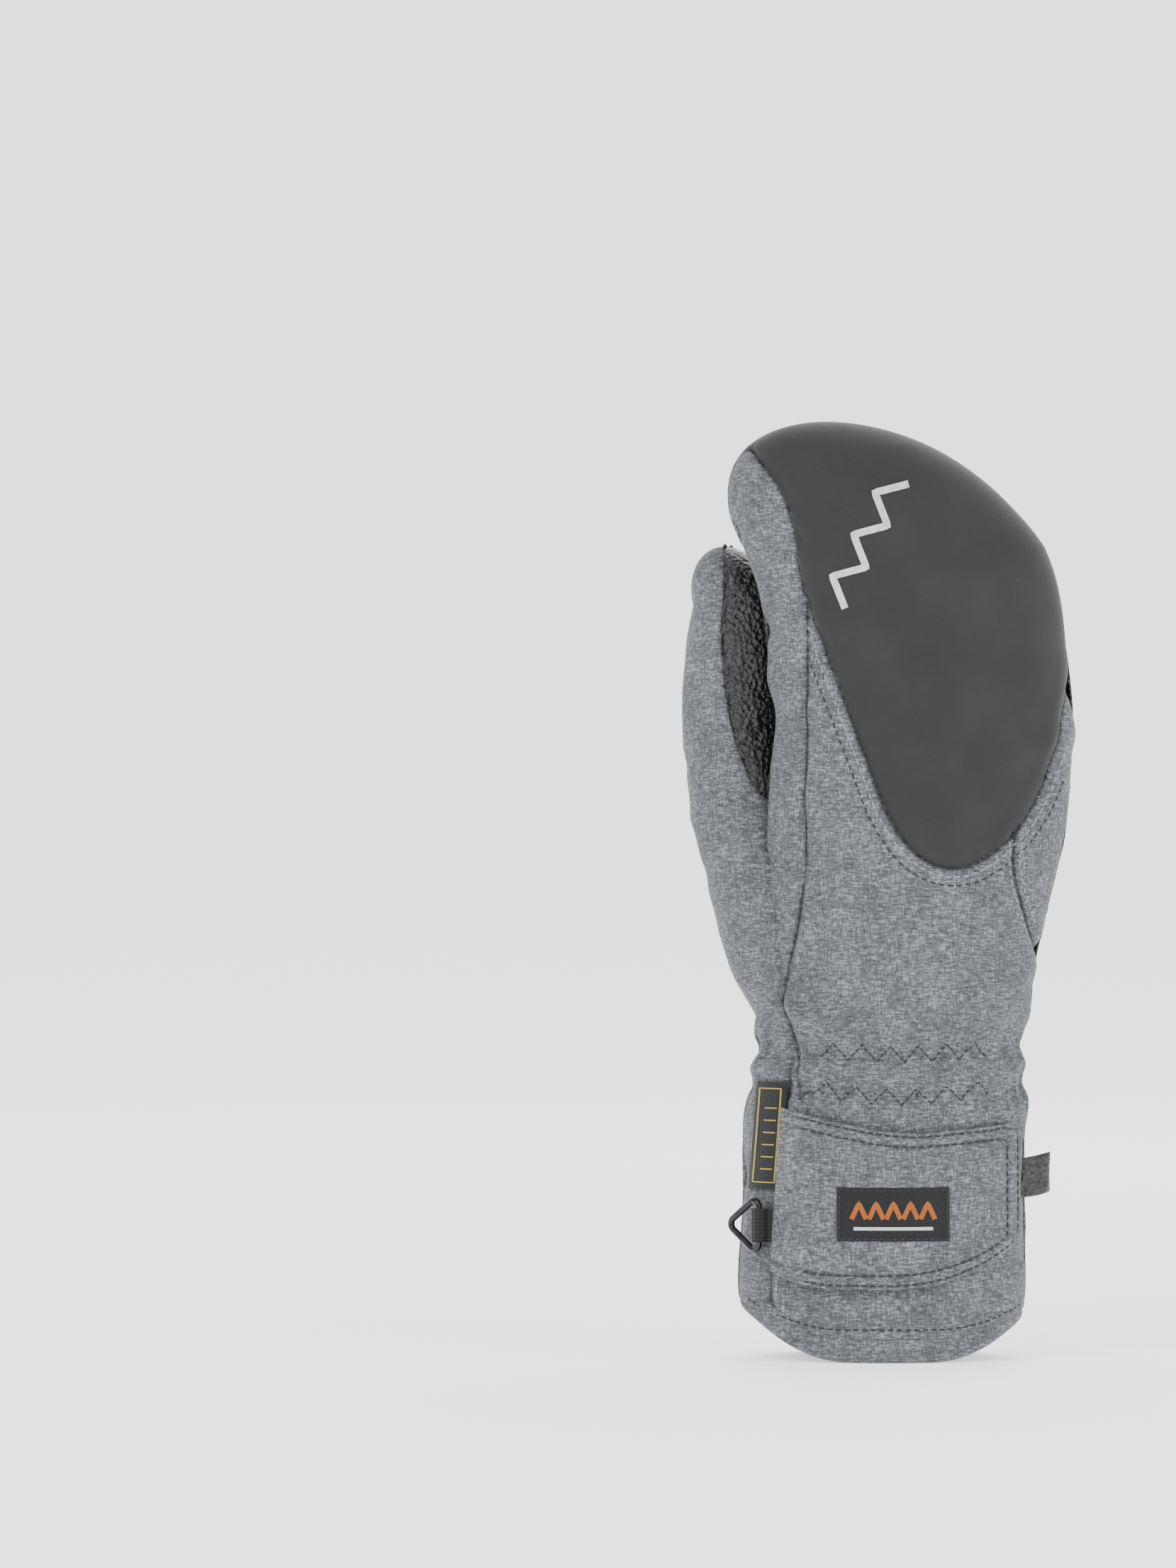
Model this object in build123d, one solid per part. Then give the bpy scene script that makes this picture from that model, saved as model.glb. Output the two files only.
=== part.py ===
from build123d import *

import math
import os

# Right-hand ski mitten, standing on its hem with the fingertips up. Millimetres.
# +Z runs from the hem to the fingertips, -Y faces the back of the hand, +Y the palm,
# and the thumb is on the -X side. Every layer is the gap between two nested tubes, so
# layers meet face to face, and what is sewn on follows the cuff at a named distance.
# The finished model is moved level so that its box is centred over the origin.

# ---- Overall sizes ---------------------------------------------------------------
cuff_length = 100.0  # hem to wrist
cuff_width = 93.0
cuff_depth = 64.0
wrist_width = 87.0
wrist_depth = 57.0
hand_length = 210.0  # wrist to fingertips
hand_width = 100.0  # across the knuckles, without the thumb
hand_depth = 57.0  # back of the hand to the palm
finger_dome = 42.0  # height of the rounded end
thumb_length = 168.0  # wrist to the thumb's tip
thumb_width = 36.0
thumb_depth = 33.0
thumb_dome = 19.0
hem_lift = 13.0  # how far the hem rises at the sides
hem_flat = 30.0  # width of the straight stretch that it stands on

# ---- Layers, from the outside in ---------------------------------------------------
shell_wall = 1.2
insulation_wall = 5.0
thumb_insulation_wall = 2.8
membrane_wall = 0.5
lining_wall = 2.3
hem_band_height = 9.0
elastic_wall = 0.8
elastic_height = 6.0
elastic_reach = 28.0  # half its length across the wrist

# ---- Moving fits ---------------------------------------------------------------------
clearance = 0.4  # between pieces that move past each other
strap_gap = 1.0  # between the strap's sewn edge and the part that opens
thumb_socket = 25.0  # radius of the rounded cut at the thumb's root
thumb_pivot_side = -hand_width / 2 + 12.0  # pivot from the cuff's middle
thumb_pivot_height = 60.0  # pivot above the wrist
thumb_zone_bottom = 40.0  # where the thumb's panels part, above the wrist
thumb_zone_top = 180.0

# ---- Wrist strap -----------------------------------------------------------------------
strap_left = -cuff_width / 2 + 19.5  # where it bends open, beside its sewn edge
strap_right = cuff_width / 2 - 3.5  # its free end
strap_top = 75.0  # lowest point of the top edge, above the hem
strap_bottom = 24.5
strap_top_left_rise = 8.0
strap_top_right_rise = 3.5
strap_bottom_right_rise = 15.5
strap_seam_top = -cuff_width / 2 + 15.5  # sewn edge
strap_seam_bottom = -cuff_width / 2 + 11.5
strap_corner = 5.0
strap_face_wall = 1.2
strap_backing_wall = 0.8
loop_patch_wall = 1.0
loop_patch_width = 40.0
hook_patch_wall = 1.0
hook_patch_width = 24.0
patch_height = 28.0
patch_margin = 5.0  # from the strap's free end
tab_length = 11.5
tab_width = 13.0
tab_wall = 2.2
tab_turn = -22.0  # degrees, against the strap's end
tab_height = 60.0  # of its middle, above the hem
label_wall = 0.6
strap_label_width = 34.0
strap_label_height = 17.0
strap_label_side = 3.4
strap_label_centre = 49.0
side_label_width = 9.0
side_label_height = 35.0
side_label_bottom = 56.0

# ---- Clip ring at the side of the cuff -----------------------------------------------------
ring_wire = 2.2  # diameter
ring_bar = 20.0  # height of the straight side
ring_reach = 14.5  # bar to apex
ring_corner = 2.2
ring_height = 44.6  # of its middle, above the hem
ring_stand_off = 3.2  # bar's centre above the cuff
ring_side = -cuff_width / 2 + 9.0
tape_wall = 0.9
tape_width = 11.0

# ---- Printed ridge on the knuckles -------------------------------------------------------------
print_wall = 0.25
ridge_line = 2.4
ridge_step = 8.0
ridge_rise = 9.0
ridge_peaks = 3
ridge_side = -13.0
ridge_height = 150.0  # above the wrist
ridge_lean = 62.0  # degrees

palm_start = 0.7  # the seam between back and palm, past the hand's middle
far = 300.0  # beyond every surface


# ---- Nested tubes -----------------------------------------------------------------------------
def oval(x, y, z, width, depth):
    """A level oval."""
    return Pos(x, y, z) * Ellipse(width / 2, depth / 2)


def middle(share):
    """How far the hand's middle leans towards the palm at a share of its length."""
    return 9.0 * share**2


def hand_tube(inset):
    """The hand from wrist to fingertips, with its wall taken in by the inset."""
    stations = [  # share of the length, side lean, width and depth
        (0.00, 2.5, wrist_width, wrist_depth),
        (0.07, 2.8, 0.945 * hand_width, 0.98 * hand_depth),
        (0.22, 5.5, 1.00 * hand_width, hand_depth),
        (0.40, 13.0, 1.00 * hand_width, hand_depth),
        (0.53, 15.5, 0.98 * hand_width, 0.97 * hand_depth),
        (0.67, 12.0, 0.99 * hand_width, 0.93 * hand_depth),
    ]
    levels = [
        oval(x, middle(s), cuff_length + s * hand_length, w - 2 * inset, d - 2 * inset)
        for s, x, w, d in stations
    ]
    start = cuff_length + hand_length - finger_dome
    for angle in (0, 22, 42, 60, 74, 84):
        rise = math.sin(math.radians(angle))
        shrink = math.cos(math.radians(angle))
        z = start + (finger_dome - inset) * rise
        width = (0.975 * hand_width - 2 * inset) * shrink
        depth = (0.88 * hand_depth - 2 * inset) * shrink
        lean = 5.0 - 22.0 * rise
        levels.append(oval(lean, middle((z - cuff_length) / hand_length), z, width, depth))
    return loft(levels)


def thumb_tube(inset):
    """The thumb: it starts inside the hand and rises on its palm side."""
    reach = thumb_length - thumb_dome
    edge = -hand_width / 2
    stations = [  # share of the reach, in from the hand's edge, towards the palm, width and depth
        (0.09, 22.5, 6.0, 0.62, 0.62),
        (0.20, 17.5, 9.0, 0.90, 0.90),
        (0.38, 11.5, 13.5, 1.00, 1.00),
        (0.56, 6.0, 18.5, 1.01, 1.03),
        (0.76, 3.2, 22.5, 1.00, 1.03),
    ]
    levels = [
        oval(edge + x, y, cuff_length + s * reach, w * thumb_width - 2 * inset, d * thumb_depth - 2 * inset)
        for s, x, y, w, d in stations
    ]
    for angle in (0, 30, 56, 76):
        rise = math.sin(math.radians(angle))
        shrink = math.cos(math.radians(angle))
        z = cuff_length + reach + (thumb_dome - inset) * rise
        width = (0.90 * thumb_width - 2 * inset) * shrink
        depth = (0.94 * thumb_depth - 2 * inset) * shrink
        levels.append(oval(edge + 4.0 - 4.5 * rise, 25.0, z, width, depth))
    return loft(levels)


cuff_stations = [  # share of the length, side lean, width and depth
    (0.0, 1.0, cuff_width, cuff_depth),
    (0.28, 1.2, 1.00 * cuff_width, 0.99 * cuff_depth),
    (0.60, 1.6, 0.99 * cuff_width, 0.97 * cuff_depth),
    (0.86, 2.3, 0.955 * cuff_width, 0.925 * cuff_depth),
    (1.0, 2.5, wrist_width, wrist_depth),
]


def cuff_tube(inset):
    """The cuff from hem to wrist; a negative inset gives a surface outside it."""
    levels = [
        oval(x, 0, s * cuff_length, w - 2 * inset, d - 2 * inset) for s, x, w, d in cuff_stations
    ]
    return loft(levels)


def cuff_between(low, high):
    """The skin from one distance outside the cuff's surface to another."""
    return cuff_tube(-high) - cuff_tube(-low)


# ---- Cutters: prisms through the whole mitten -----------------------------------------------------
def front_prism(curve, *corners):
    """Straight through from back to palm: a smooth edge, closed by straight lines."""
    edge = Spline(*curve)
    outline = Wire([*edge.edges(), *Polyline(curve[-1], *corners, curve[0]).edges()])
    return extrude(Plane.XZ * make_face(outline), far, both=True)


def front_box(left, right, low, high):
    """A square prism from back to palm."""
    return Pos((left + right) / 2, 0, (low + high) / 2) * Box(right - left, 2 * far, high - low)


def hand_point(side, share):
    """A point on the hand's front view, as shares of its width and length."""
    return (side * hand_width, cuff_length + share * hand_length)


def hand_palm_half():
    """Everything on the palm side of the hand's middle."""
    curve = [
        (palm_start + middle(s), cuff_length + s * hand_length) for s in (0.0, 0.25, 0.5, 0.75, 1.0)
    ]
    edge = Spline(*curve)
    corners = Polyline(curve[-1], (far, curve[-1][1]), (far, cuff_length), curve[0])
    outline = Wire([*edge.edges(), *corners.edges()])
    return extrude(Plane.YZ * make_face(outline), far, both=True)


def hem_cutter(raise_by):
    """Everything under the hem's curve, raised by a distance."""
    half = hem_flat / 2
    side = cuff_width / 2 + 10
    middle_x = 3.0
    lift = hem_lift * (side - half) ** 2 / (cuff_width / 2 - half) ** 2
    flat = Line((-half, 0), (half, 0))
    right = TangentArc((half, 0), (side, lift), tangent=(1, 0))
    left = TangentArc((-half, 0), (-side, lift), tangent=(-1, 0))
    rest = Polyline((side, lift), (side, -far), (-side, -far), (-side, lift))
    outline = Wire([*flat.edges(), *right.edges(), *left.edges(), *rest.edges()])
    return Pos(middle_x, 0, raise_by) * extrude(Plane.XZ * make_face(outline), far, both=True)


def solids_of(shape):
    """One solid or a group of solids, without slivers."""
    found = shape.solids()
    largest = max(s.volume for s in found)
    found = [s for s in found if s.volume > 0.03 * largest]
    return found[0] if len(found) == 1 else Compound(children=found)


nodes = {}


def keep(name, shape):
    """Hold a finished piece under its node's name."""
    nodes[name] = solids_of(shape)


# ---- Layers of the hand and of the fixed root of the thumb ---------------------------------------
hand_walls = (shell_wall, insulation_wall, membrane_wall, lining_wall)
thumb_walls = (shell_wall, thumb_insulation_wall, membrane_wall, lining_wall)
hand_insets = [sum(hand_walls[:i]) for i in range(5)]
thumb_insets = [sum(thumb_walls[:i]) for i in range(5)]
hands = [hand_tube(inset) for inset in hand_insets]
thumbs = [thumb_tube(inset) for inset in thumb_insets]

pivot_z = cuff_length + thumb_pivot_height


def socket(radius):
    """What the thumb's rounded cut leaves below it: a roller across the hand and all under it."""
    roller = Pos(thumb_pivot_side, 0, pivot_z) * Rot(90, 0, 0) * Cylinder(radius, 2 * far)
    below = front_box(thumb_pivot_side - radius, thumb_pivot_side + radius, pivot_z - far, pivot_z)
    return roller + below


thumb_fixed = socket(thumb_socket)
thumb_free = socket(thumb_socket + clearance)
bodies = [h + (t & thumb_fixed) for h, t in zip(hands, thumbs)]
fixed_layers = [bodies[i] - bodies[i + 1] for i in range(4)]
hand_outside = hand_tube(-clearance)
free_layers = [thumbs[i] - thumbs[i + 1] - thumb_free - hand_outside for i in range(4)]
print("layers made")

palm_half = hand_palm_half()
shell = fixed_layers[0]
shell_back = shell - palm_half
shell_palm = shell & palm_half

# ---- Outlines of the shell's panels, in the front view ------------------------------------------------
knuckle_edge = [hand_point(*p) for p in (
    (-0.50, 1.00), (-0.32, 0.89), (-0.27, 0.80), (-0.235, 0.70), (-0.12, 0.55),
    (0.00, 0.39), (0.09, 0.32), (0.20, 0.295), (0.36, 0.315), (0.53, 0.41), (0.62, 0.54), (0.72, 0.66),
)]
knuckle_zone = front_prism(knuckle_edge, (far, knuckle_edge[-1][1]), (far, 2 * far), (-0.5 * far, 2 * far))
gusset_edge = [hand_point(*p) for p in (
    (-0.325, 0.0), (-0.315, 0.13), (-0.26, 0.25), (-0.245, 0.45), (-0.245, 0.72),
)]
gusset_zone = front_prism(gusset_edge, (-far, gusset_edge[-1][1]), (-far, cuff_length))
crotch_edge = [hand_point(*p) for p in (
    (-0.33, 0.0), (-0.325, 0.10), (-0.37, 0.18), (-0.385, 0.25), (-0.385, 0.42), (-0.38, 0.50),
)]
crotch_zone = front_prism(crotch_edge, (-far, crotch_edge[-1][1]), (-far, cuff_length))
outer_edge = [hand_point(*p) for p in ((0.56, 0.10), (0.51, 0.175), (0.455, 0.26), (0.45, 0.36))]
outer_top = hand_point(0.45, 0.72)
outer_zone = front_prism(outer_edge, outer_top, (far, outer_top[1]), (far, outer_edge[0][1]))
tip_edge = [hand_point(*p) for p in (
    (0.70, 0.70), (0.57, 0.80), (0.44, 0.865), (0.22, 0.915), (0.03, 0.92),
    (-0.15, 0.905), (-0.29, 0.86), (-0.37, 0.80), (-0.50, 0.70),
)]
tip_zone = front_prism(
    tip_edge, (-far, tip_edge[-1][1]), (-far, 2 * far), (far, 2 * far), (far, tip_edge[0][1])
)
band_edge = [
    hand_point(*p) for p in ((0.90, 0.41), (0.58, 0.446), (0.29, 0.49), (-0.18, 0.517), (-0.60, 0.54))
]
band_zone = front_prism(
    band_edge, (-far, band_edge[-1][1]), (-far, 2 * far), (far, 2 * far), (far, band_edge[0][1])
)
heel_edge = [hand_point(*p) for p in (
    (0.90, 0.20), (0.51, 0.208), (0.35, 0.205), (0.21, 0.23), (0.03, 0.287), (-0.15, 0.344), (-0.30, 0.385),
)]
heel_top_zone = front_prism(
    heel_edge, (-far, heel_edge[-1][1]), (-far, 0), (far, 0), (far, heel_edge[0][1])
)
thumb_leather_edge = [hand_point(*p) for p in (
    (-0.10, 0.0), (-0.095, 0.12), (-0.10, 0.19), (-0.147, 0.275), (-0.23, 0.34), (-0.33, 0.39),
)]
thumb_leather_zone = front_prism(thumb_leather_edge, (-far, thumb_leather_edge[-1][1]), (-far, cuff_length))
thumb_grey_edge = [hand_point(*p) for p in (
    (-0.11, 0.0), (-0.125, 0.08), (-0.195, 0.14), (-0.256, 0.23), (-0.36, 0.34), (-0.45, 0.42),
)]
thumb_grey_zone = front_prism(thumb_grey_edge, (-far, thumb_grey_edge[-1][1]), (-far, cuff_length))

gusset_tip = [hand_point(*p) for p in ((-0.245, 0.72), (-0.24, 0.85), (-0.23, 1.01))]
gusset_zone = gusset_zone + front_prism(gusset_tip, (-far, 2 * far), (-far, gusset_tip[0][1]))
everywhere = front_box(-far, far, 0, 3 * far)

keep("knuckle_panel", shell_back & knuckle_zone)
keep("thumb_side_panel", shell_back & (gusset_zone - crotch_zone - knuckle_zone))
keep("outer_side_panel", shell_back & (outer_zone - knuckle_zone))
keep("back_panel", shell_back & (everywhere - knuckle_zone - gusset_zone - crotch_zone - outer_zone))
thumb_base_back = shell_back & (crotch_zone - knuckle_zone)

keep("fingertip_wrap", shell_palm & tip_zone)
keep("palm_leather_upper", shell_palm & (band_zone - tip_zone))
palm_rest = everywhere - band_zone
thumb_base_palm = shell_palm & (thumb_grey_zone - band_zone)
keep("thumb_base_panel", thumb_base_back + thumb_base_palm)
palm_rest = palm_rest - thumb_grey_zone
keep("thumb_base_leather", shell_palm & (palm_rest & heel_top_zone & thumb_leather_zone))
keep("heel_panel", shell_palm & ((palm_rest & heel_top_zone) - thumb_leather_zone))
keep("palm_leather_lower", shell_palm & (palm_rest - heel_top_zone))

keep("insulation_back", fixed_layers[1] - palm_half)
keep("insulation_palm", fixed_layers[1] & palm_half)
keep("membrane_insert", fixed_layers[2])
keep("lining_back", fixed_layers[3] - palm_half)
keep("lining_palm", fixed_layers[3] & palm_half)
print("hand made")

# ---- The free part of the thumb, beyond the rounded cut ---------------------------------------------
def thumb_palm_half():
    """Everything on the palm side of the thumb's middle."""
    middles = ((9.0, 20.0), (14.0, 60.0), (22.0, 112.0), (25.0, 170.0))  # depth and height above the wrist
    curve = [(palm_start + y, cuff_length + z) for y, z in middles]
    edge = Spline(*curve)
    corners = Polyline(curve[-1], (far, curve[-1][1]), (far, curve[0][1]), curve[0])
    outline = Wire([*edge.edges(), *corners.edges()])
    return extrude(Plane.YZ * make_face(outline), far, both=True)


def thumb_zone(sides):
    """Everything on the hand's side of a line up the thumb, given in from the hand's edge."""
    step = (thumb_zone_top - thumb_zone_bottom) / (len(sides) - 1)
    curve = [(x - hand_width / 2, cuff_length + thumb_zone_bottom + i * step) for i, x in enumerate(sides)]
    return front_prism(curve, (far, curve[-1][1]), (far, curve[0][1]))


thumb_palm = thumb_palm_half()
inner_zone = thumb_zone((25.0, 13.5, 8.5, 11.5, 4.0))
leather_zone = thumb_zone((30.0, 17.5, 1.5, -2.0, -1.0))
thumb_skin_palm = free_layers[0] & thumb_palm
thumb_skin_back = free_layers[0] - thumb_palm
keep("thumb_inner_panel", thumb_skin_palm & inner_zone)
keep("thumb_leather_panel", thumb_skin_back & leather_zone)
keep("thumb_outer_panel", (thumb_skin_palm - inner_zone) + (thumb_skin_back - leather_zone))
keep("thumb_insulation", free_layers[1])
keep("thumb_membrane", free_layers[2])
keep("thumb_lining", free_layers[3])
print("thumb made")

# ---- Cuff -----------------------------------------------------------------------------------------------
cuffs = [cuff_tube(inset) for inset in hand_insets]
under_hem = hem_cutter(0)
under_band = hem_cutter(hem_band_height)
elastic_space = cuffs[1] - cuff_tube(shell_wall + elastic_wall)


def elastic(height, side):
    """A flat elastic band just inside the shell, on the back (-1) or the palm (1)."""
    low, high = height - elastic_height / 2, height + elastic_height / 2
    reach = front_box(2.5 - elastic_reach, 2.5 + elastic_reach, low, high)
    half = Pos(0, side * far, 0) * Box(2 * far, 2 * far - 4, 2 * far)
    return elastic_space & reach & half


cuff_skin = cuffs[0] - cuffs[1] - under_band
cuff_palm_side = Pos(0, palm_start + far, 0) * Box(2 * far, 2 * far, 2 * far)
keep("cuff_back", cuff_skin - cuff_palm_side)
keep("cuff_palm", cuff_skin & cuff_palm_side)
keep("hem_band", (cuffs[0] - cuffs[4] - under_hem) & under_band)
keep("wrist_elastic_upper", elastic(0.945 * cuff_length, -1))
keep("wrist_elastic_lower", elastic(0.855 * cuff_length, -1))
keep("wrist_elastic_palm", elastic(0.855 * cuff_length, 1))
padding = cuffs[1] - cuffs[2] - under_band
for name in ("wrist_elastic_upper", "wrist_elastic_lower", "wrist_elastic_palm"):
    padding = padding - nodes[name]
keep("cuff_padding_back", padding - cuff_palm_side)
keep("cuff_padding_palm", padding & cuff_palm_side)
keep("cuff_lining", cuffs[2] - cuffs[4] - under_band)
print("cuff made")

# ---- Wrist strap and what is sewn to it -------------------------------------------------------------------
back_side = Pos(0, -far, 0) * Box(2 * far, 2 * far, 2 * far)
loop_at = (0.0, loop_patch_wall)
hook_at = (loop_patch_wall + clearance, loop_patch_wall + clearance + hook_patch_wall)
backing_at = (hook_at[1], hook_at[1] + strap_backing_wall)
face_at = (backing_at[1], backing_at[1] + strap_face_wall)
label_at = (face_at[1], face_at[1] + label_wall)


def strap_outline(left_top, left_bottom, right):
    """The strap's front view: it narrows from the sewn edge to the free end."""
    centre = (strap_left + strap_right) / 2
    top = ThreePointArc(
        (left_top, strap_top + strap_top_left_rise), (centre, strap_top), (right, strap_top + strap_top_right_rise)
    )
    bottom = ThreePointArc(
        (left_bottom, strap_bottom + 2.0), (centre, strap_bottom), (right, strap_bottom + strap_bottom_right_rise)
    )
    sides = Polyline(bottom @ 0, top @ 0)
    end = Polyline(bottom @ 1, top @ 1)
    face = make_face(Wire([*top.edges(), *end.edges(), *bottom.edges(), *sides.edges()]))
    return face


def strap_prism():
    """The whole strap, straight through, with its free corners rounded."""
    face = strap_outline(strap_seam_top, strap_seam_bottom, strap_right)
    free_corners = face.vertices().sort_by(Axis.X)[-2:]
    return extrude(Plane.XZ * fillet(free_corners, strap_corner), far)


strap = strap_prism()
moving_side = front_box(strap_left, far, 0, cuff_length)
sewn_side = front_box(-far, strap_left - strap_gap, 0, cuff_length)
strap_middle = (strap_top + strap_bottom) / 2 + 3.0
keep("strap_face", cuff_between(*face_at) & strap & moving_side)
keep("strap_backing", cuff_between(*backing_at) & strap & moving_side)
keep("strap_base", cuff_between(0, face_at[1]) & strap & sewn_side)


def patch(between, width):
    """A square of hook or loop tape behind the strap's free end."""
    right = strap_right - patch_margin
    outline = front_box(right - width, right, strap_middle - patch_height / 2, strap_middle + patch_height / 2)
    return cuff_between(*between) & outline & back_side


keep("loop_patch", patch(loop_at, loop_patch_width))
keep("hook_patch", patch(hook_at, hook_patch_width))
label_outline = front_box(
    strap_label_side - strap_label_width / 2,
    strap_label_side + strap_label_width / 2,
    strap_label_centre - strap_label_height / 2,
    strap_label_centre + strap_label_height / 2,
)
keep("strap_label", cuff_between(*label_at) & label_outline & back_side)
print("strap made")


# ---- Places on the cuff's back surface -------------------------------------------------------------------------
def cuff_spot(side, height, out):
    """A plane on the cuff's back at a side and height: X along the cuff towards +X, Z straight out."""
    share = height / cuff_length
    after = next(i for i in range(1, 5) if share <= cuff_stations[i][0])
    low, high = cuff_stations[after - 1], cuff_stations[after]
    part = (share - low[0]) / (high[0] - low[0])
    lean, width, depth = [low[i] + part * (high[i] - low[i]) for i in (1, 2, 3)]
    half_width, half_depth = width / 2, depth / 2
    across = (side - lean) / half_width
    y = -half_depth * math.sqrt(1 - across**2)
    normal = Vector((side - lean) / half_width**2, y / half_depth**2, 0).normalized()
    along = Vector(-normal.Y, normal.X, 0)
    return Plane(Vector(side, y, height) + normal * out, x_dir=along, z_dir=normal)


# ---- Pull tab at the strap's free end ------------------------------------------------------------------------
tab_root = cuff_spot(strap_right, tab_height, (backing_at[0] + face_at[1]) / 2)
tab_plane = tab_root * Rot(0, tab_turn, 0)
tab_shape = Pos(clearance + 0.6 + tab_length / 2, 0, 0) * Box(tab_length, tab_width, tab_wall)
tab_ends = tab_shape.edges().filter_by(Axis.Z).sort_by(Axis.X)[-2:]
keep("pull_tab", tab_plane * fillet(tab_ends, 2.0))

# ---- Label, tape and ring at the thumb side --------------------------------------------------------------------
seam_edge = [(strap_seam_top + 1.0, 0.98 * cuff_length), (strap_seam_bottom - 1.5, 0.0)]
left_of_seam = front_prism(seam_edge, (-far, 0), (-far, cuff_length))
label_left = Pos(-side_label_width, 0, 0) * left_of_seam
label_band = front_box(-far, 0, side_label_bottom, side_label_bottom + side_label_height)
keep("side_label", (cuff_between(0, label_wall) & left_of_seam & label_band & back_side) - label_left - strap)

ring_plane = cuff_spot(ring_side, ring_height, ring_stand_off)
bar_hole = ring_wire / 2 + clearance
sleeve = Cylinder(bar_hole + tape_wall, tape_width, rotation=(90, 0, 0))
tail = Pos(2.4, 0, -ring_stand_off + 0.75) * Box(4.8, tape_width, 1.5)
neck = Pos(1.3, 0, -ring_stand_off / 2 - 0.2) * Box(1.8, tape_width, ring_stand_off - 0.8)
tape = sleeve + tail + neck - Cylinder(bar_hole, 2 * tape_width, rotation=(90, 0, 0))
keep("ring_tape", (ring_plane * tape) - cuff_tube(0) - strap)
ring_half = ring_bar / 2
ring_path = FilletPolyline(
    (0, ring_half), (0, -ring_half), (-ring_reach, 0), radius=ring_corner, close=True
)
start = Plane(ring_path @ 0, z_dir=ring_path % 0)
keep("clip_ring", ring_plane * sweep(start * Circle(ring_wire / 2), path=ring_path))
print("trim made")


# ---- Printed ridge --------------------------------------------------------------------------------------------------
def ridge_prism():
    """A row of peaks in front view, all one line, leaning across the knuckles."""
    points = [(i * ridge_step, ridge_rise * (i % 2)) for i in range(2 * ridge_peaks + 1)]
    line = Polyline(*points)
    band = offset(line, ridge_line / 2, kind=Kind.INTERSECTION)
    face = make_face(band)
    place = Pos(ridge_side, cuff_length + ridge_height) * Rot(0, 0, ridge_lean)
    return extrude(Plane.XZ * (place * face), far)


keep("ridge_print", (hand_tube(-print_wall) - hands[0]) & ridge_prism())

# ---- Level, centred and written ---------------------------------------------------------------------------------------
box = Compound(children=[shape.moved(Location()) for shape in nodes.values()]).bounding_box()
shift = Vector(-(box.min.X + box.max.X) / 2, -(box.min.Y + box.max.Y) / 2, -box.min.Z)
os.makedirs("parts", exist_ok=True)
for name, shape in nodes.items():
    export_step(shape.moved(Location(shift)), f"parts/{name}.step")
print("size", box.size, "moved by", shift)


def show(label, plane):
    """A place and direction for the joints and mounts."""
    o, z = plane.origin + shift, plane.z_dir
    print(label, [round(v, 2) for v in (o.X, o.Y, o.Z)], "normal", [round(v, 4) for v in (z.X, z.Y, z.Z)])


show("strap hinge", cuff_spot(strap_left, strap_middle, face_at[1]))
show("tab hinge", tab_root)
show("ring bar", ring_plane)
print("thumb pivot", thumb_pivot_side + shift.X, pivot_z)
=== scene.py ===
import math

import bpy
import numpy as np
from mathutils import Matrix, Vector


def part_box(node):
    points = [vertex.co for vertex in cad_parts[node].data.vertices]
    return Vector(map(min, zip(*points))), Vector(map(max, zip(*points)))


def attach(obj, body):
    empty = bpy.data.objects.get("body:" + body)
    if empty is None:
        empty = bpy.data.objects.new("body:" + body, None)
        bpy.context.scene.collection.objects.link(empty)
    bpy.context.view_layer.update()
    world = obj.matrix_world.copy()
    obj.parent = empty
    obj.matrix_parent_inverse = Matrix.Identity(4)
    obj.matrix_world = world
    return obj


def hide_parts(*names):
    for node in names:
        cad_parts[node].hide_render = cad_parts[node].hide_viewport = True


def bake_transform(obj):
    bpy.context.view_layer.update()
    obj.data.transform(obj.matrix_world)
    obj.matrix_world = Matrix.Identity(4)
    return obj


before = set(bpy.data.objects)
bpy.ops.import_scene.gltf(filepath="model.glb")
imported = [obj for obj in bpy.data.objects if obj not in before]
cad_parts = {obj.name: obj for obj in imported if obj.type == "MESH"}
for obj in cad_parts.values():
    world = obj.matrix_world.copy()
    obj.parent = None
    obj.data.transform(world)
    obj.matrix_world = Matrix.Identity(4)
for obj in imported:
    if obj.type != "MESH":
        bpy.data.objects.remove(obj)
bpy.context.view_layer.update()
mm = 0.001
rng = np.random.default_rng(11)
print("frame loaded")

# The hand's drawing stands on the middle of the hem.
hemLow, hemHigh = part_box("hem_band")
drawing = {
    "side": (hemLow[0] + hemHigh[0]) / 2 / mm - 1.0,
    "depth": (hemLow[1] + hemHigh[1]) / 2 / mm,
}


# camera and room
def hexColour(code):
    # each sRGB channel: c / 12.92 when dark, else ((c + 0.055) / 1.055) ^ 2.4
    channels = np.array([int(code[i:i + 2], 16) / 255 for i in (1, 3, 5)])
    linear = np.where(channels <= 0.04045, channels / 12.92, ((channels + 0.055) / 1.055) ** 2.4)
    return (*[float(c) for c in linear], 1.0)


room = {
    "wall": "#FBFBFB",
    "cameraDistance": 2.6,  # metres
    "frameHeight": 0.5148,  # of the view at the back of the hand
    "backDepth": 0.02,  # from the mitten's middle to the back of the hand
    "aim": (-0.0950, 0.1894),  # side and height
    "light": "#FFFFFF",
}


def aimAt(obj, target):
    # turn the object's -Z axis towards the target
    direction = np.array(target) - np.array(obj.location)
    length = float(np.linalg.norm(direction))
    pitch = math.acos(-direction[2] / length)
    yaw = math.atan2(direction[1], direction[0]) - math.pi / 2
    obj.rotation_euler = (pitch, 0, yaw)


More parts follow.
